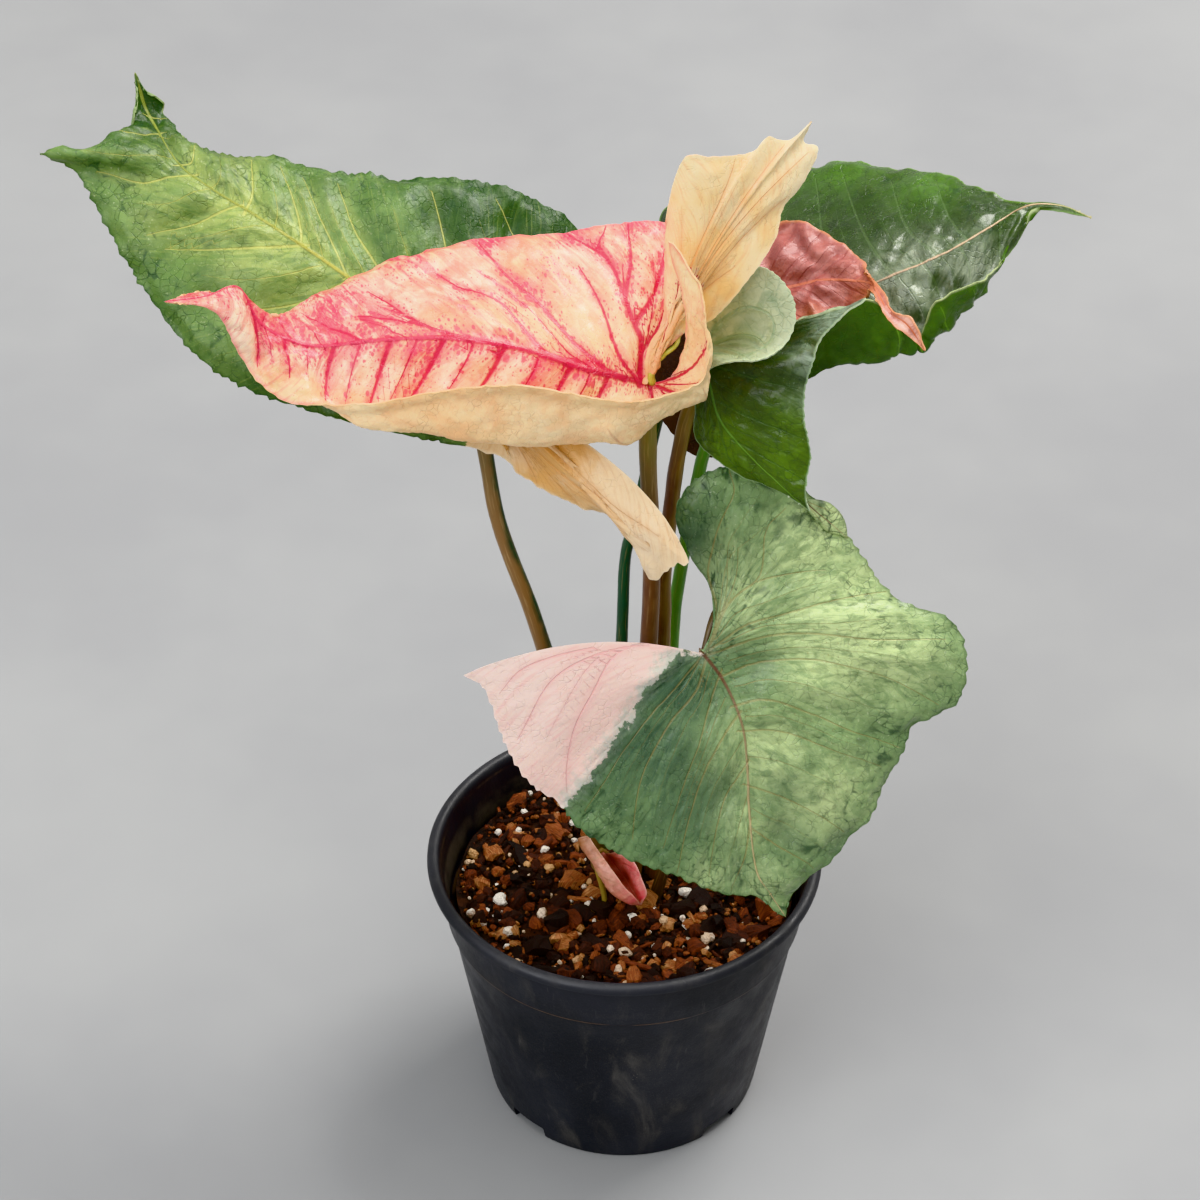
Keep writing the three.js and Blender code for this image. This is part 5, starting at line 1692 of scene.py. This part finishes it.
@dataclass
class Stalk:
    """The round stalk of a leaf, which runs on under the blade as the foot of its midrib.

    Args:
        line: the table of its points from inside the mix to the blade, in millimetres.
        foot, top: its radius at each end, in millimetres.
        seed: the pattern of its unevenness.
    """

    line: str
    foot: float
    top: float
    seed: int = 1
    sheath: float = 0.0

    def build(self, name: str, keel: tuple[np.ndarray, np.ndarray]) -> bpy.types.Object:
        """Models the stalk.

        Args:
            name: the object's name.
            keel: the points of the midrib that it runs on under, and the blade's normals there.

        Returns:
            The stalk.
        """
        main = evenly(np.array(groups(self.line)), 76)
        spine, normals = keel
        steps = np.array([0.01, 0.03, 0.06, 0.1, 0.15]) * (len(spine) - 1)
        picked = np.rint(steps).astype(int)
        depth = np.array([1.0, 1.0, 0.9, 0.7, 0.45])[:, None] * self.top
        main[-6:] -= normals[0] * self.top * np.linspace(0, 0.9, 6)[:, None]
        line = evenly(np.vstack([main, spine[picked] - normals[picked] * depth]), 92)
        share = np.linspace(0, 1, 92)
        radii = self.foot + (self.top - self.foot) * np.clip(share / 0.9, 0, 1)
        radii *= 1 + self.sheath * ease(share, 0.22, 0.0)
        radii *= 1 + 0.08 * np.exp(-(((share - 0.86) / 0.04) ** 2))
        radii *= 1 - 0.75 * ease(share, 0.9, 1.0)
        return tube(name, line * MM, radii * MM, 20, 0.05 * MM, self.seed)


@dataclass
class Leaf:
    """A leaf: its blade and its stalk, each with its own finish."""

    node: str
    slot: str
    title: str
    blade: Blade
    stalk: Stalk
    upper: Paint
    lower: Paint
    skin: StalkPaint
    folds: tuple[Blade, ...] = ()
    rim_skin: Optional[StalkPaint] = None

    def build(self) -> bpy.types.Object:
        """Models the leaf, dresses it and puts it in the place of its CAD node."""
        upper = self.upper.make(self.title + "_upper_face")
        lower = self.lower.make(self.title + "_lower_face")
        blade = self.blade.build(self.title, upper, lower)
        skin = self.skin.make(self.title + "_stalk_skin")
        stems = [self.stalk.build(self.title + "_stalk", self.blade.keel)]
        for line in self.blade.rim_lines:
            radii = np.linspace(self.stalk.top * 0.5, 0.5, len(line))
            stems.append(tube(self.title + "_rim", line * MM, radii * MM, 12, 0.0, 3))
        rim_skin = self.rim_skin.make(self.title + "_rim_skin") if self.rim_skin else skin
        for place, stem in enumerate(stems):
            stem.data.materials.clear()
            stem.data.materials.append(rim_skin if place else skin)
        stems += [fold.build(self.title + "_fold", upper, lower) for fold in self.folds]
        pick(blade, *stems)
        bpy.ops.object.join()
        smooth(blade, 60)
        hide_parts(self.node)
        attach(blade, "root")
        return blade


@dataclass
class StemCrown:
    """The short woody stub that the stalks rise from, with a ringed, mottled brown skin."""

    at: tuple[float, float] = (2.0, 10.0)
    radius: float = 4.1
    bottom: float = 63.0
    top: float = 83.6

    def build(self) -> bpy.types.Object:
        """Models the stub."""
        deselect()
        height = self.top - self.bottom
        bpy.ops.mesh.primitive_cylinder_add(
            vertices=28, radius=self.radius * MM, depth=height * MM, end_fill_type="NGON",
            location=(self.at[0] * MM, self.at[1] * MM, (self.bottom + height / 2) * MM),
        )
        stub = bpy.context.object
        stub.name = stub.data.name = "woody_crown"
        bpy.ops.object.transform_apply(location=True)
        edit(stub)
        bpy.ops.mesh.bevel(offset=0.0008, segments=3)
        bpy.ops.mesh.subdivide(number_cuts=2)
        close_edit()
        apply(stub, "SUBSURF", levels=2, render_levels=2)
        points = points_of(stub)
        middle = np.array([self.at[0] * MM, self.at[1] * MM])
        out = points[:, :2] - middle
        rings = 0.05 * np.sin(points[:, 2] / MM * 2.1) + 0.10 * waves(points, 0.004, 21)
        points[:, :2] = middle + out * (0.93 + 0.6 * rings)[:, None]
        points[:, 2] += 0.0006 * waves(points, 0.003, 22) * ease(points[:, 2], 0.078, 0.083) - 0.0004
        move_points(stub, points)
        smooth(stub, 60)
        g = new_material("old_stem_skin")
        where = g.place()
        ground = g.blend(g.span(g.noise(where, 300, 4, 0.6), 0.35, 0.65), "#4a3520", "#7a6a3a")
        ground = g.blend(g.span(g.noise(where, 900, 3, 0.6), 0.5, 0.7, 0.0, 0.6), ground, "#2a1c12")
        rough = g.span(g.noise(where, 300, 2), 0.3, 0.7, 0.5, 0.75)
        normal = g.bump(g.noise(where, 800, 4, 0.65), 0.0006, 0.8)
        stub.data.materials.append(finished(g, "old_stem_skin", ground, rough, normal))
        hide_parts("stem_crown")
        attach(stub, "root")
        return stub


@dataclass
class Studio:
    """The pale floor, the soft lights and the camera."""

    lens: float = 120.0
    eye: Point = (-7.39, -895.48, 913.78)
    aim: Point = (-7.39, 0.0, 187.86)

    def floor(self) -> bpy.types.Object:
        """A large pale grey floor."""
        deselect()
        bpy.ops.mesh.primitive_plane_add(size=14, location=(0, 0, -0.0002))
        floor = bpy.context.object
        floor.name = "studio_floor"
        bpy.ops.object.transform_apply(location=True)
        g = new_material("pale_floor")
        where = g.place()
        ground = g.blend(g.span(g.noise(where, 5, 4, 0.6), 0.3, 0.7), "#929395", "#9a9b9c")
        floor.data.materials.append(finished(g, "pale_floor", ground, 0.85, Specular_IOR_Level=0.2))
        return floor

    def lamp(self, name: str, place: Point, aim: Point, size: float, power: float, tint: Point) -> None:
        """A square soft lamp.

        Args:
            name: its name.
            place: where it hangs, in metres.
            aim: the point that it faces.
            size: the length of its side.
            power: its power in watts.
            tint: its colour.
        """
        deselect()
        bpy.ops.object.light_add(type="AREA", location=place)
        lamp = bpy.context.object
        lamp.name = name
        lamp.data.shape, lamp.data.size = "SQUARE", size
        lamp.data.energy, lamp.data.color = power, tint
        lamp.rotation_euler = self.turn_towards(place, aim)

    def turn_towards(self, place: Point, aim: Point) -> tuple[float, float, float]:
        """The rotation with which a lamp or camera at that place faces the aim."""
        x, y, z = (b - a for a, b in zip(place, aim))
        return (math.atan2(math.hypot(x, y), -z), 0.0, math.atan2(-x, y))

    def camera(self) -> None:
        """The camera at the photograph's angle."""
        eye = tuple(v * MM for v in self.eye)
        aim = tuple(v * MM for v in self.aim)
        bpy.ops.object.camera_add(location=eye, rotation=self.turn_towards(eye, aim))
        camera = bpy.context.object
        camera.name = "photograph_view"
        camera.data.lens, camera.data.sensor_width = self.lens, 36.0
        camera.data.clip_end = 50.0
        bpy.context.scene.camera = camera

    def build(self) -> None:
        """Sets everything up."""
        self.floor()
        self.lamp("key", (0.9, 0.75, 2.1), (0, 0, 0.2), 1.1, 50.0, (1.0, 0.975, 0.94))
        self.lamp("front_fill", (-1.4, -1.6, 1.7), (0, 0, 0.2), 1.8, 31.0, (0.93, 0.96, 1.0))
        self.lamp("overhead", (-0.2, -0.3, 2.4), (0, 0, 0.2), 2.2, 22.0, (1.0, 0.99, 0.97))
        world = bpy.data.worlds.new("pale_room")
        world.use_nodes = True
        world.node_tree.nodes["Background"].inputs["Color"].default_value = (1.0, 0.985, 0.965, 1.0)
        world.node_tree.nodes["Background"].inputs["Strength"].default_value = 0.66
        bpy.context.scene.world = world
        bpy.context.scene.view_settings.view_transform = "Khronos PBR Neutral"
        self.camera()


UP: Point = (0, 0, 1)
FRONT: Point = (0, -0.8, 0.6)


def leaves() -> list[Leaf]:
    """The six leaves and the young shoot, from the left one round to the lowest one."""
    return [
        Leaf(
            "leaf_left_green", "leaf_light_green", "light_green_leaf",
            Blade(
                LEFT_GREEN, 0.05, UP, (0.1, -0.3, 1.0), LEFT_GREEN_VEINS, teeth=1.5, pitch=3.2, relief=1.8, quilt=5.0,
                frill=1.2, ripple=0.6, rib_width=0.9, cell=5.0, cell_relief=0.4, seed=11,
                border=(LEFT, ".575 1, .565 .7, .54 .45, .3 .22, 0 .2"),
                # The dark shade patches are partly the leaf's own dark green and partly painted shade in the folds
                # between the tips and at the far end.
                shade=spots(LEFT, ".95 .4 14 1.2, .89 .1 9 .9, .67 .95 14 .6, .91 .06 10 1.15, .88 .3 7 .8",
                RIGHT, """.3 .9 24 1.2, .39 .9 16 1, .2 .5 22 1.2, .5 .97 8 .6, .93 .5 14 1.2, .86 .1 12 1.1,
                .49 .4 9 .4, .4 .75 15 1.25, .58 .6 12 .4, .72 .97 7 .6"""),
                blush=spots(LEFT, ".79 .1 14 .8, .75 .25 15 .9, .71 .35 14 .7, .8 .55 12 .5", RIGHT,
                ".62 .12 12 .8, .7 .8 10 .8, .76 .3 10 .5"),
                bulges=spots(RIGHT, ".86 .25 6 -1.6", LEFT, ".88 .3 7 1.2", RIGHT, ".72 .5 8 1.4", LEFT,
                ".75 .35 9 1.2", RIGHT, ".45 .85 7 1.6, .37 .9 6 1.6", LEFT, ".66 .7 8 1.3, .82 .7 7 -1"),
            ),
            Stalk("""-5 7 64, -7 6 77, -15 2 129, -23 0 167, -28 -1 188, -33 0 204, -37 2 219, -40 6 239,
            -44 8 260""", 2.7, 2.1, 31, 0.1),
            Paint(
                "#5a783c", "#708c50", "#47683a", 44, vein="#b0b060", vein_strength=0.65, spread=0.75, halo="#98a658",
                halo_strength=0.5, reach=4.2, rib="#a8a048", rib_tip="#7f8a3c", net="#2a4a28", net_strength=0.6,
                net_scale=420, edge="#2a4c20", edge_strength=0.6, edge_width=1.2, calm=1.0, streaks=0.3,
                # The shade colour is partly painted shade in the leaf's folds.
                blush="#a8b268", blush_strength=0.7, shade="#2a4a18", shade_strength=0.95, beyond="#dfae6c",
                beyond_second="#f2dcbc", beyond_vein="#cf9458", brush=0.8, fleck="#c8d0a4", fleck_strength=0.45,
                strand_strength=0.25, rough=0.4, coat=0.06, shine=0.32,
            ),
            Paint(
                "#7c9b68", "#8aa873", "#6c8c5c", 34, vein="#9db27c", vein_strength=0.6, halo="#9db27c",
                halo_strength=0.3, rib="#a8b377", rib_tip="#a8b377", net="#56754c", net_strength=0.3,
                beyond="#dfae6c", beyond_second="#f2dcbc", beyond_vein="#cf9458", brush=0.8, edge="#8a6b40",
                edge_strength=0.2, rough=0.5,
            ),
            StalkPaint("#8a6a44", "#24402a", "#4a5a38", 0.93, 0.22),
        ),
        Leaf(
            "leaf_front_pink", "leaf_cream_pink", "cream_pink_leaf",
            Blade(
                FRONT_PINK, 0.04, UP, (0.0, -0.25, 1.0), FRONT_PINK_VEINS, lobe_rows=190, blade_rows=170,
                half_columns=38, relief=2.1, quilt=4.6, teeth=0.4, pitch=3.6, frill=0.55, ripple=0.35, cell=9.0,
                cell_relief=0.25, cell_soft=4.0, rib_width=1.25, rims=(RIGHT,), seed=12,
                border=(RIGHT, ".535 1, .525 .8, .5 .55, .44 .42, .2 .4, .08 .5, 0 .95"),
                blush=spots(LEFT, ".7 .06 6 .6, .76 .06 7 .7, .6 .06 6 .6, .5 .1 5 .6, .9 .5 8 .5", RIGHT,
                """.71 .65 9 .5, .68 .75 8 .55, .73 .5 8 .5, .66 .5 7 .45, .76 .35 8 .5, .8 .25 8 .8, .82 .3 8 .9,
                .82 .49 9 1, .81 .66 10 .9, .78 .8 12 .7, .86 .5 9 .8, .6 .97 6 .7, .63 .98 6 .9, .66 .98 7 .9,
                .7 .98 7 .9, .74 .98 7 1, .78 .98 8 1, .84 .96 8 1, .66 .06 8 .7, .7 .04 8 .6, .64 .7 7 .6,
                .68 .5 7 .4"""),
                shade=spots(LEFT, ".4 .12 14 1, .1 .4 20 1, .25 .6 18 1, 0 .8 16 1, .08 .15 10 .8", RIGHT,
                ".2 .97 22 1, .28 1 20 .8, .68 .3 16 .7, .62 .15 14 1"),
            ),
            Stalk("1 1 64, 2 1 77, 7 1 176, 7 0 214, 6 0 240, 6 0 265", 2.95, 2.35, 32, 0.1),
            Paint(
                "#f7d8a6", "#fcecd2", "#ec9068", 34, vein="#bf1c45", vein_strength=0.95, spread=1.3, halo="#de4863",
                halo_strength=0.72, streaks=0.28, reach=3.8, rib="#b81a42", rib_tip="#cc2c55", rib_strength=0.95,
                rib_reach=0.95, net="#e08a74", net_strength=0.12, net_scale=520, edge="#e2506a", edge_strength=0.45,
                edge_width=1.4, speck="#d63a60", speck_amount=1.0, speck_scale=560, blush="#d8365c",
                blush_strength=1.0, shade="#fff0c0", shade_strength=0.95, ragged=0.1, shine=0.5, beyond="#ffd490",
                beyond_second="#fff0ca", beyond_vein="#eba468", brush=1.4, fleck="#fff6ea", fleck_strength=0.35,
                strand_strength=0.35, third_strength=0.6, streak=0.3, lean=0.65, rough=0.32, coat=0.4,
            ),
            Paint(
                "#ffdaa8", "#ffe6bc", "#f6bf8c", 26, vein="#e59a74", vein_strength=0.3, spread=1.2, halo="#ecab88",
                halo_strength=0.22, reach=3.0, rib="#d98d6c", rib_tip="#e3a27d", rib_strength=0.5, net="#e2a878",
                net_strength=0.2, net_scale=520, edge="#dca870", edge_strength=0.3, edge_width=0.7, blush="#e47a78",
                blush_strength=0.5, shade="#f6e2b4", shade_strength=0.85, strand_strength=0.15, rough=0.46, coat=0.08,
            ),
            StalkPaint("#8a6440", "#6a4630", "#8c8c44", 0.55, 0.5),
            rim_skin=StalkPaint("#a4ac48", "#bcbc60", "#c8a868", 0.3, 0.4),
        ),
        Leaf(
            "leaf_right_dark", "leaf_dark_green", "dark_green_leaf",
            Blade(
                RIGHT_DARK, 0.05, UP, (-0.05, -0.2, 1.0), RIGHT_DARK_VEINS, teeth=0.35, pitch=4.0, relief=1.2,
                quilt=5.5, frill=0.8, ripple=0.5, rib_width=0.65, cell=6.0, cell_relief=0.3, crumple_depth=2.2,
                crumple_size=9.0, seed=13,
                # Past the border the basal lobe is dark brown-mauve; where it fills the gap behind the pink leaf's
                # sinus, its darkness is partly painted shade.
                border=(LEFT, ".3 1, .27 .5, .24 0"),
                crumple=spots(LEFT, ".53 .3 13, .65 .4 12", RIGHT, ".62 .1 12"),
                # Painted light: the bright green shade patches along the far margin stand for light shining through the
                # blade.
                shade=spots(RIGHT, ".5 .95 14 .9, .62 .85 12 .9, .4 .9 14 .7"),
                # Painted highlight: the pale grey-green blush patches on the crumpled places stand for a whitish gloss.
                blush=spots(LEFT, ".55 .1 13 1, .68 .2 11 .9", RIGHT, ".62 .06 10 .8"),
            ),
            Stalk("9 3 64, 9 4 77, 11 8 170, 11 8 190, 13 9 216, 15 10 234, 19 14 249, 31 25 260", 2.6, 2.1, 33,
            0.1),
            Paint(
                "#273f10", "#364d18", "#1c3010", 40, vein="#66804c", vein_strength=0.2, halo="#42602a",
                halo_strength=0.3, reach=3.0, lean=-0.35, rib="#b79c84", rib_tip="#cbb08c", net="#1c3a24",
                # The blush colour is a painted highlight of gloss on the crumples.
                net_strength=0.4, edge="#79a244", edge_strength=0.5, edge_width=1.0, blush="#9aa48c",
                # The shade colour is painted light shining through the blade.
                blush_strength=0.9, shine=0.42, shade="#4f7a20", shade_strength=0.85, beyond="#4a2c24",
                beyond_second="#5a3c30", beyond_vein="#3a1c16", brush=1.0, fleck="#8a9c80", fleck_strength=0.25,
                rough=0.28, coat=0.35,
            ),
            Paint(
                "#385c08", "#47700e", "#2a4c06", 30, vein="#7fae3c", vein_strength=0.4, halo="#6fa234",
                halo_strength=0.25, rib="#a99a70", rib_tip="#b9a070", net="#34681c", net_strength=0.3, edge="#c9d0a0",
                edge_strength=0.5, edge_width=0.8, beyond="#54382e", beyond_second="#64463a", beyond_vein="#3a1c16",
                brush=1.0, rough=0.42,
            ),
            StalkPaint("#92703e", "#6c4630", "#8a8a48", 0.55, 0.4),
        ),
        Leaf(
            "leaf_small_salmon", "leaf_salmon", "salmon_leaf",
            Blade(
                SMALL_SALMON, 0.06, UP, (0.0, -0.25, 1.0), SMALL_SALMON_VEINS, lobe_rows=60, blade_rows=150,
                half_columns=26, teeth=0.2, pitch=3.0, relief=1.4, quilt=4.5, frill=0.6, ripple=0.4, rib_width=0.6,
                cell=12.0, cell_relief=1.5, cell_soft=7.0, crumple_depth=2.0, crumple_size=15.0, seed=14,
                crumple=spots(LEFT, ".3 .4 20", RIGHT, ".3 .4 22"),
                shade=spots(LEFT, ".58 .7 8 .8, .3 .98 5 .7", RIGHT, ".62 .5 8 .9"),
                blush=spots(LEFT, ".9 .5 9 1", RIGHT, ".9 .5 9 1"),
            ),
            Stalk("-4 15 64, -4 15 77, -1 15 160, 0 17 190, 3 19 202, 6 25 216, 11 32 236, 19 34 255, 29 32 271",
            2.0, 1.5, 34, 0.1),
            Paint(
                "#a4605a", "#bb7a72", "#8a4644", 60, vein="#8c3f3e", vein_strength=0.35, halo="#b06a64",
                halo_strength=0.35, reach=2.2, rib="#c07058", rib_tip="#cf7c58", net="#7a3a38", net_strength=0.2,
                edge="#d8905c", edge_strength=0.6, edge_width=1.0, blush="#f2c6b6", blush_strength=0.9,
                shade="#c97848", shade_strength=0.7, fleck="#d8a49c", fleck_strength=0.25, rough=0.34, coat=0.12,
                pores=0.2,
            ),
            Paint(
                "#d99a8a", "#e0a898", "#c4806f", 50, vein="#c06a5c", vein_strength=0.4, halo="#cf8474",
                halo_strength=0.2, rib="#cf7a5a", rib_tip="#e0a090", net="#b06a5c", net_strength=0.2, edge="#e0a060",
                edge_strength=0.5, rough=0.45,
            ),
            StalkPaint("#2a4a3c", "#345a40", "#9a6a44", 0.6, 0.4),
        ),
        Leaf(
            "leaf_drooping", "leaf_blue_green", "blue_green_leaf",
            Blade(
                DROOPING, 0.08, FRONT, (0.1, -0.9, 0.4), DROOPING_VEINS, lobe_rows=130, blade_rows=130,
                half_columns=30, teeth=0.45, pitch=2.4, relief=0.7, quilt=3.0, frill=0.5, ripple=0.35, rib_width=0.6,
                cell=5.0, cell_relief=0.35, seed=15,
                border=(LEFT, ".49 1, .47 .4, .44 0"),
                # Painted light: the vivid green shade patches on the lower part stand for light shining through the
                # blade.
                shade=spots(LEFT, ".75 .3 13 1", RIGHT, ".8 .6 13 1, .68 .8 10 .8"),
                blush=spots(RIGHT, ".22 .9 9 .9, .35 .95 7 .9, .5 .98 5 .9, .62 .98 5 .7"),
            ),
            Stalk("11 12 64, 11 12 77, 14 15 161, 16 15 186, 21 13 225, 23 12 236, 24 12 250, 21 10.4 268.4", 2.2,
            1.8, 35, 0.1),
            Paint(
                "#27380f", "#384c18", "#1a2a10", 46, vein="#4c6a3c", vein_strength=0.35, halo="#3a5a2c",
                halo_strength=0.35, reach=2.6, rib="#4f7a3c", rib_tip="#6f9a38", net="#183424", net_strength=0.3,
                edge="#a9c49c", edge_strength=0.6, edge_width=0.7, blush="#92a48c", blush_strength=0.85,
                # The shade colour is painted light shining through the blade.
                shade="#587c0c", shade_strength=0.95, beyond="#b4bf9c", beyond_second="#c6cdb2",
                beyond_vein="#8aa07c", brush=1.2, fleck="#b4cbb0", fleck_strength=0.3, rough=0.33, coat=0.25,
            ),
            Paint(
                "#b0bc9c", "#c2cbaa", "#86a07c", 40, vein="#8fae88", vein_strength=0.4, rib="#8fae70",
                rib_tip="#8fae70", net="#6f8a68", net_strength=0.3, edge="#c4d4b4", edge_strength=0.5, rough=0.48,
            ),
            StalkPaint("#4f8a34", "#67a040", "#5c9a3c", 0.6, 0.5),
        ),
        Leaf(
            "leaf_half_moon", "leaf_mottled_green", "mottled_green_leaf",
            Blade(
                HALF_MOON, 0.05, FRONT, (0.0, -0.85, 0.5), HALF_MOON_VEINS, lobe_rows=150, blade_rows=170,
                half_columns=36, teeth=1.0, pitch=3.8, relief=1.5, quilt=6.5, frill=1.1, ripple=0.5, rib_width=0.65,
                cell=5.0, cell_relief=0.4, seed=16,
                border=(LEFT, ".03 0, .11 .15, .21 .27, .3 .41, .345 .58, .36 .75, .375 1"),
                # The dark blue-green shade patches are partly the leaf's own variegation and partly painted shade
                # beside its swellings.
                shade=spots(LEFT, ".45 .5 24 .9, .6 .6 20 .8, .42 .2 16 1, .8 .5 10 .5", RIGHT, """.02 .6 18 .7,
                .36 .12 10 .7, .28 .1 7 .8, .72 .25 9 .5, .8 .9 8 .5, .47 .15 11 .6, .78 .36 9 .55, .02 .95 12 .8"""),
                # The pale yellow-green blush patches are partly the leaf's mottling and partly painted light on its lit
                # swellings.
                blush=spots(LEFT, ".75 .1 10 .8, .7 .85 9 .6, .85 .2 10 .7", RIGHT, """.23 .37 14 1,
                .43 .55 20 1.3, .67 .1 15 .9, .37 .8 18 1, .73 .51 16 .9, .49 .72 16 .9, .3 .8 16 1,
                .18 .55 10 .6"""),
                bulges=spots(RIGHT, ".57 .14 8 2.4, .47 .16 6 -2.2", LEFT, ".6 .25 7 2, .66 .42 8 -1.8",
                RIGHT, """.77 .32 6 -2.6, .84 .25 5 1.8, .4 .7 12 2.2, .56 .62 8 -1.6, .14 .85 9 1.8, .24 .5 8 -1.4,
                .66 .6 8 1.6"""),
            ),
            Stalk("7 -4 64, 10 -4 77, 22 -2 128, 30 -1 166, 30 -4 187, 26 -12 193, 22 -22 186", 1.9, 1.4, 36,
            0.1),
            Paint(
                "#6e8a5c", "#84a06c", "#587650", 30, vein="#9c8450", vein_strength=0.4, spread=0.7, halo="#8aa868",
                halo_strength=0.3, reach=3.2, rib="#6c4636", rib_tip="#cbb98c", rib_strength=0.9, net="#304a34",
                # The blush colour is partly painted light on the lit swellings.
                net_strength=0.6, net_scale=420, edge="#385434", edge_strength=0.5, edge_width=1.1, blush="#c8da9e",
                # The shade colour is partly painted shade.
                blush_strength=1.0, shade="#3f5a4c", shade_strength=0.85, beyond="#e8cabf", beyond_second="#eed6cc",
                beyond_vein="#e6a2a2", brush=1.6, brushed_band=5.0, third_strength=0.3, lean=0.25, streak=0.5,
                streaks=0.25, fleck="#ccd8b4", fleck_strength=0.5, strand_strength=0.12, rough=0.36, coat=0.16,
            ),
            Paint(
                "#7c9c76", "#8cab80", "#6a8a68", 32, vein="#9cb68a", vein_strength=0.5, rib="#a98e70",
                rib_tip="#b9b07c", net="#557455", net_strength=0.3, edge="#6a8a60", edge_strength=0.3,
                beyond="#f0d4ca", beyond_second="#f4e0d8", beyond_vein="#e2868c", brush=1.2, rough=0.5,
            ),
            StalkPaint("#4a3526", "#5a4a30", "#5a4a30", 0.3, 0.4),
            folds=(Blade(
                CURL, 0.22, FRONT, (0.1, -0.8, 0.5), veins(LEFT, ".3 .2 .1 .6 .8", RIGHT, ".3 .2 .1 .6 .8"),
                lobe_rows=20, blade_rows=46, half_columns=12, relief=0.3, teeth=0.2, pitch=2.0, frill=0.3, ripple=0.2,
                rib=0.7, rib_width=0.3, seed=18,
                blush=spots(LEFT, ".6 .5 40 1.3"),
            ),),
        ),
        Leaf(
            "new_shoot", "young_pink", "folded_young_shoot",
            Blade(
                SHOOT, 0.0, UP, (-0.2, -0.6, 0.6), veins(LEFT, ".3 .2 .1 .4 .5 .6 .9", RIGHT,
                ".3 .2 .1 .4 .5 .6 .9"), lobe_rows=24, blade_rows=60, half_columns=14, relief=0.12, quilt=1.2,
                teeth=0.05, frill=0.25, ripple=0.15, ripple_size=7.0, thickness=0.55, rib=1.0, rib_width=0.4,
                cell=3.0, cell_relief=0.15, cell_soft=1.5, seed=17,
                # On the upper face the shade patches are painted shade in the groove, dark red; on the lower face they
                # are the flap's own tan.
                shade=spots(LEFT, ".1 .6 5 1, .45 .1 3 1.2", RIGHT, ".2 .2 3 1.3, .45 .1 3 1.3, .1 .5 3 1"),
                blush=spots(RIGHT, ".5 .6 6 1, .8 .5 6 1"),
            ),
            Stalk("-7 -9 66, -6 -9 78, -8 -8 88, -9 -4 91, -7 0 90", 0.9, 0.7, 37, 0.1),
            Paint(
                "#e8a092", "#f0bcae", "#d0706c", 160, vein="#c0504c", vein_strength=0.4, halo="#d87470",
                halo_strength=0.3, reach=1.2, rib="#a04038", rib_tip="#e8b8a8", net="#b85850", net_strength=0.12,
                net_scale=1200, edge="#f6d4c0", edge_strength=0.5, edge_width=0.6, blush="#f0707c",
                # The upper face's shade colour is painted shade in the groove under the mottled green leaf.
                blush_strength=0.85, shade="#8a2c1c", shade_strength=0.9, strand_strength=0.3, rough=0.34, coat=0.3,
            ),
            Paint(
                "#d99c84", "#e8b4a0", "#b87a60", 160, vein="#c07a66", vein_strength=0.3, rib="#d9a08c",
                rib_tip="#e8b8a8", net="#b86c58", net_strength=0.12, net_scale=1200, edge="#f0c8b0",
                edge_strength=0.4, edge_width=0.5, blush="#ee6676", blush_strength=0.9, shade="#a8744c",
                shade_strength=0.9, strand_strength=0.2, rough=0.38, coat=0.2,
            ),
            StalkPaint("#a08844", "#b09c54", "#8a6038", 0.3, 0.4),
        ),
    ]


def main() -> None:
    """Builds the plant in its pot, the studio and the camera, and notes each piece."""
    logging.basicConfig(level=logging.INFO, format="%(name)s: %(message)s")
    pot = NurseryPot().build()
    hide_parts("nursery_pot")
    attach(pot, "root")
    log.info("%s: %d faces", pot.name, len(pot.data.polygons))
    for piece in BarkMix().build():
        if piece.name == "mix_ground":
            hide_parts("potting_mix")
        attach(piece, "root")
        log.info("%s: %d faces", piece.name, len(piece.data.polygons))
    crown = StemCrown().build()
    log.info("%s: %d faces", crown.name, len(crown.data.polygons))
    for leaf in leaves():
        made = leaf.build()
        log.info("%s: %d faces", made.name, len(made.data.polygons))
    Studio().build()
    deselect()
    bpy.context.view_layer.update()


if __name__ == "__main__":
    main()
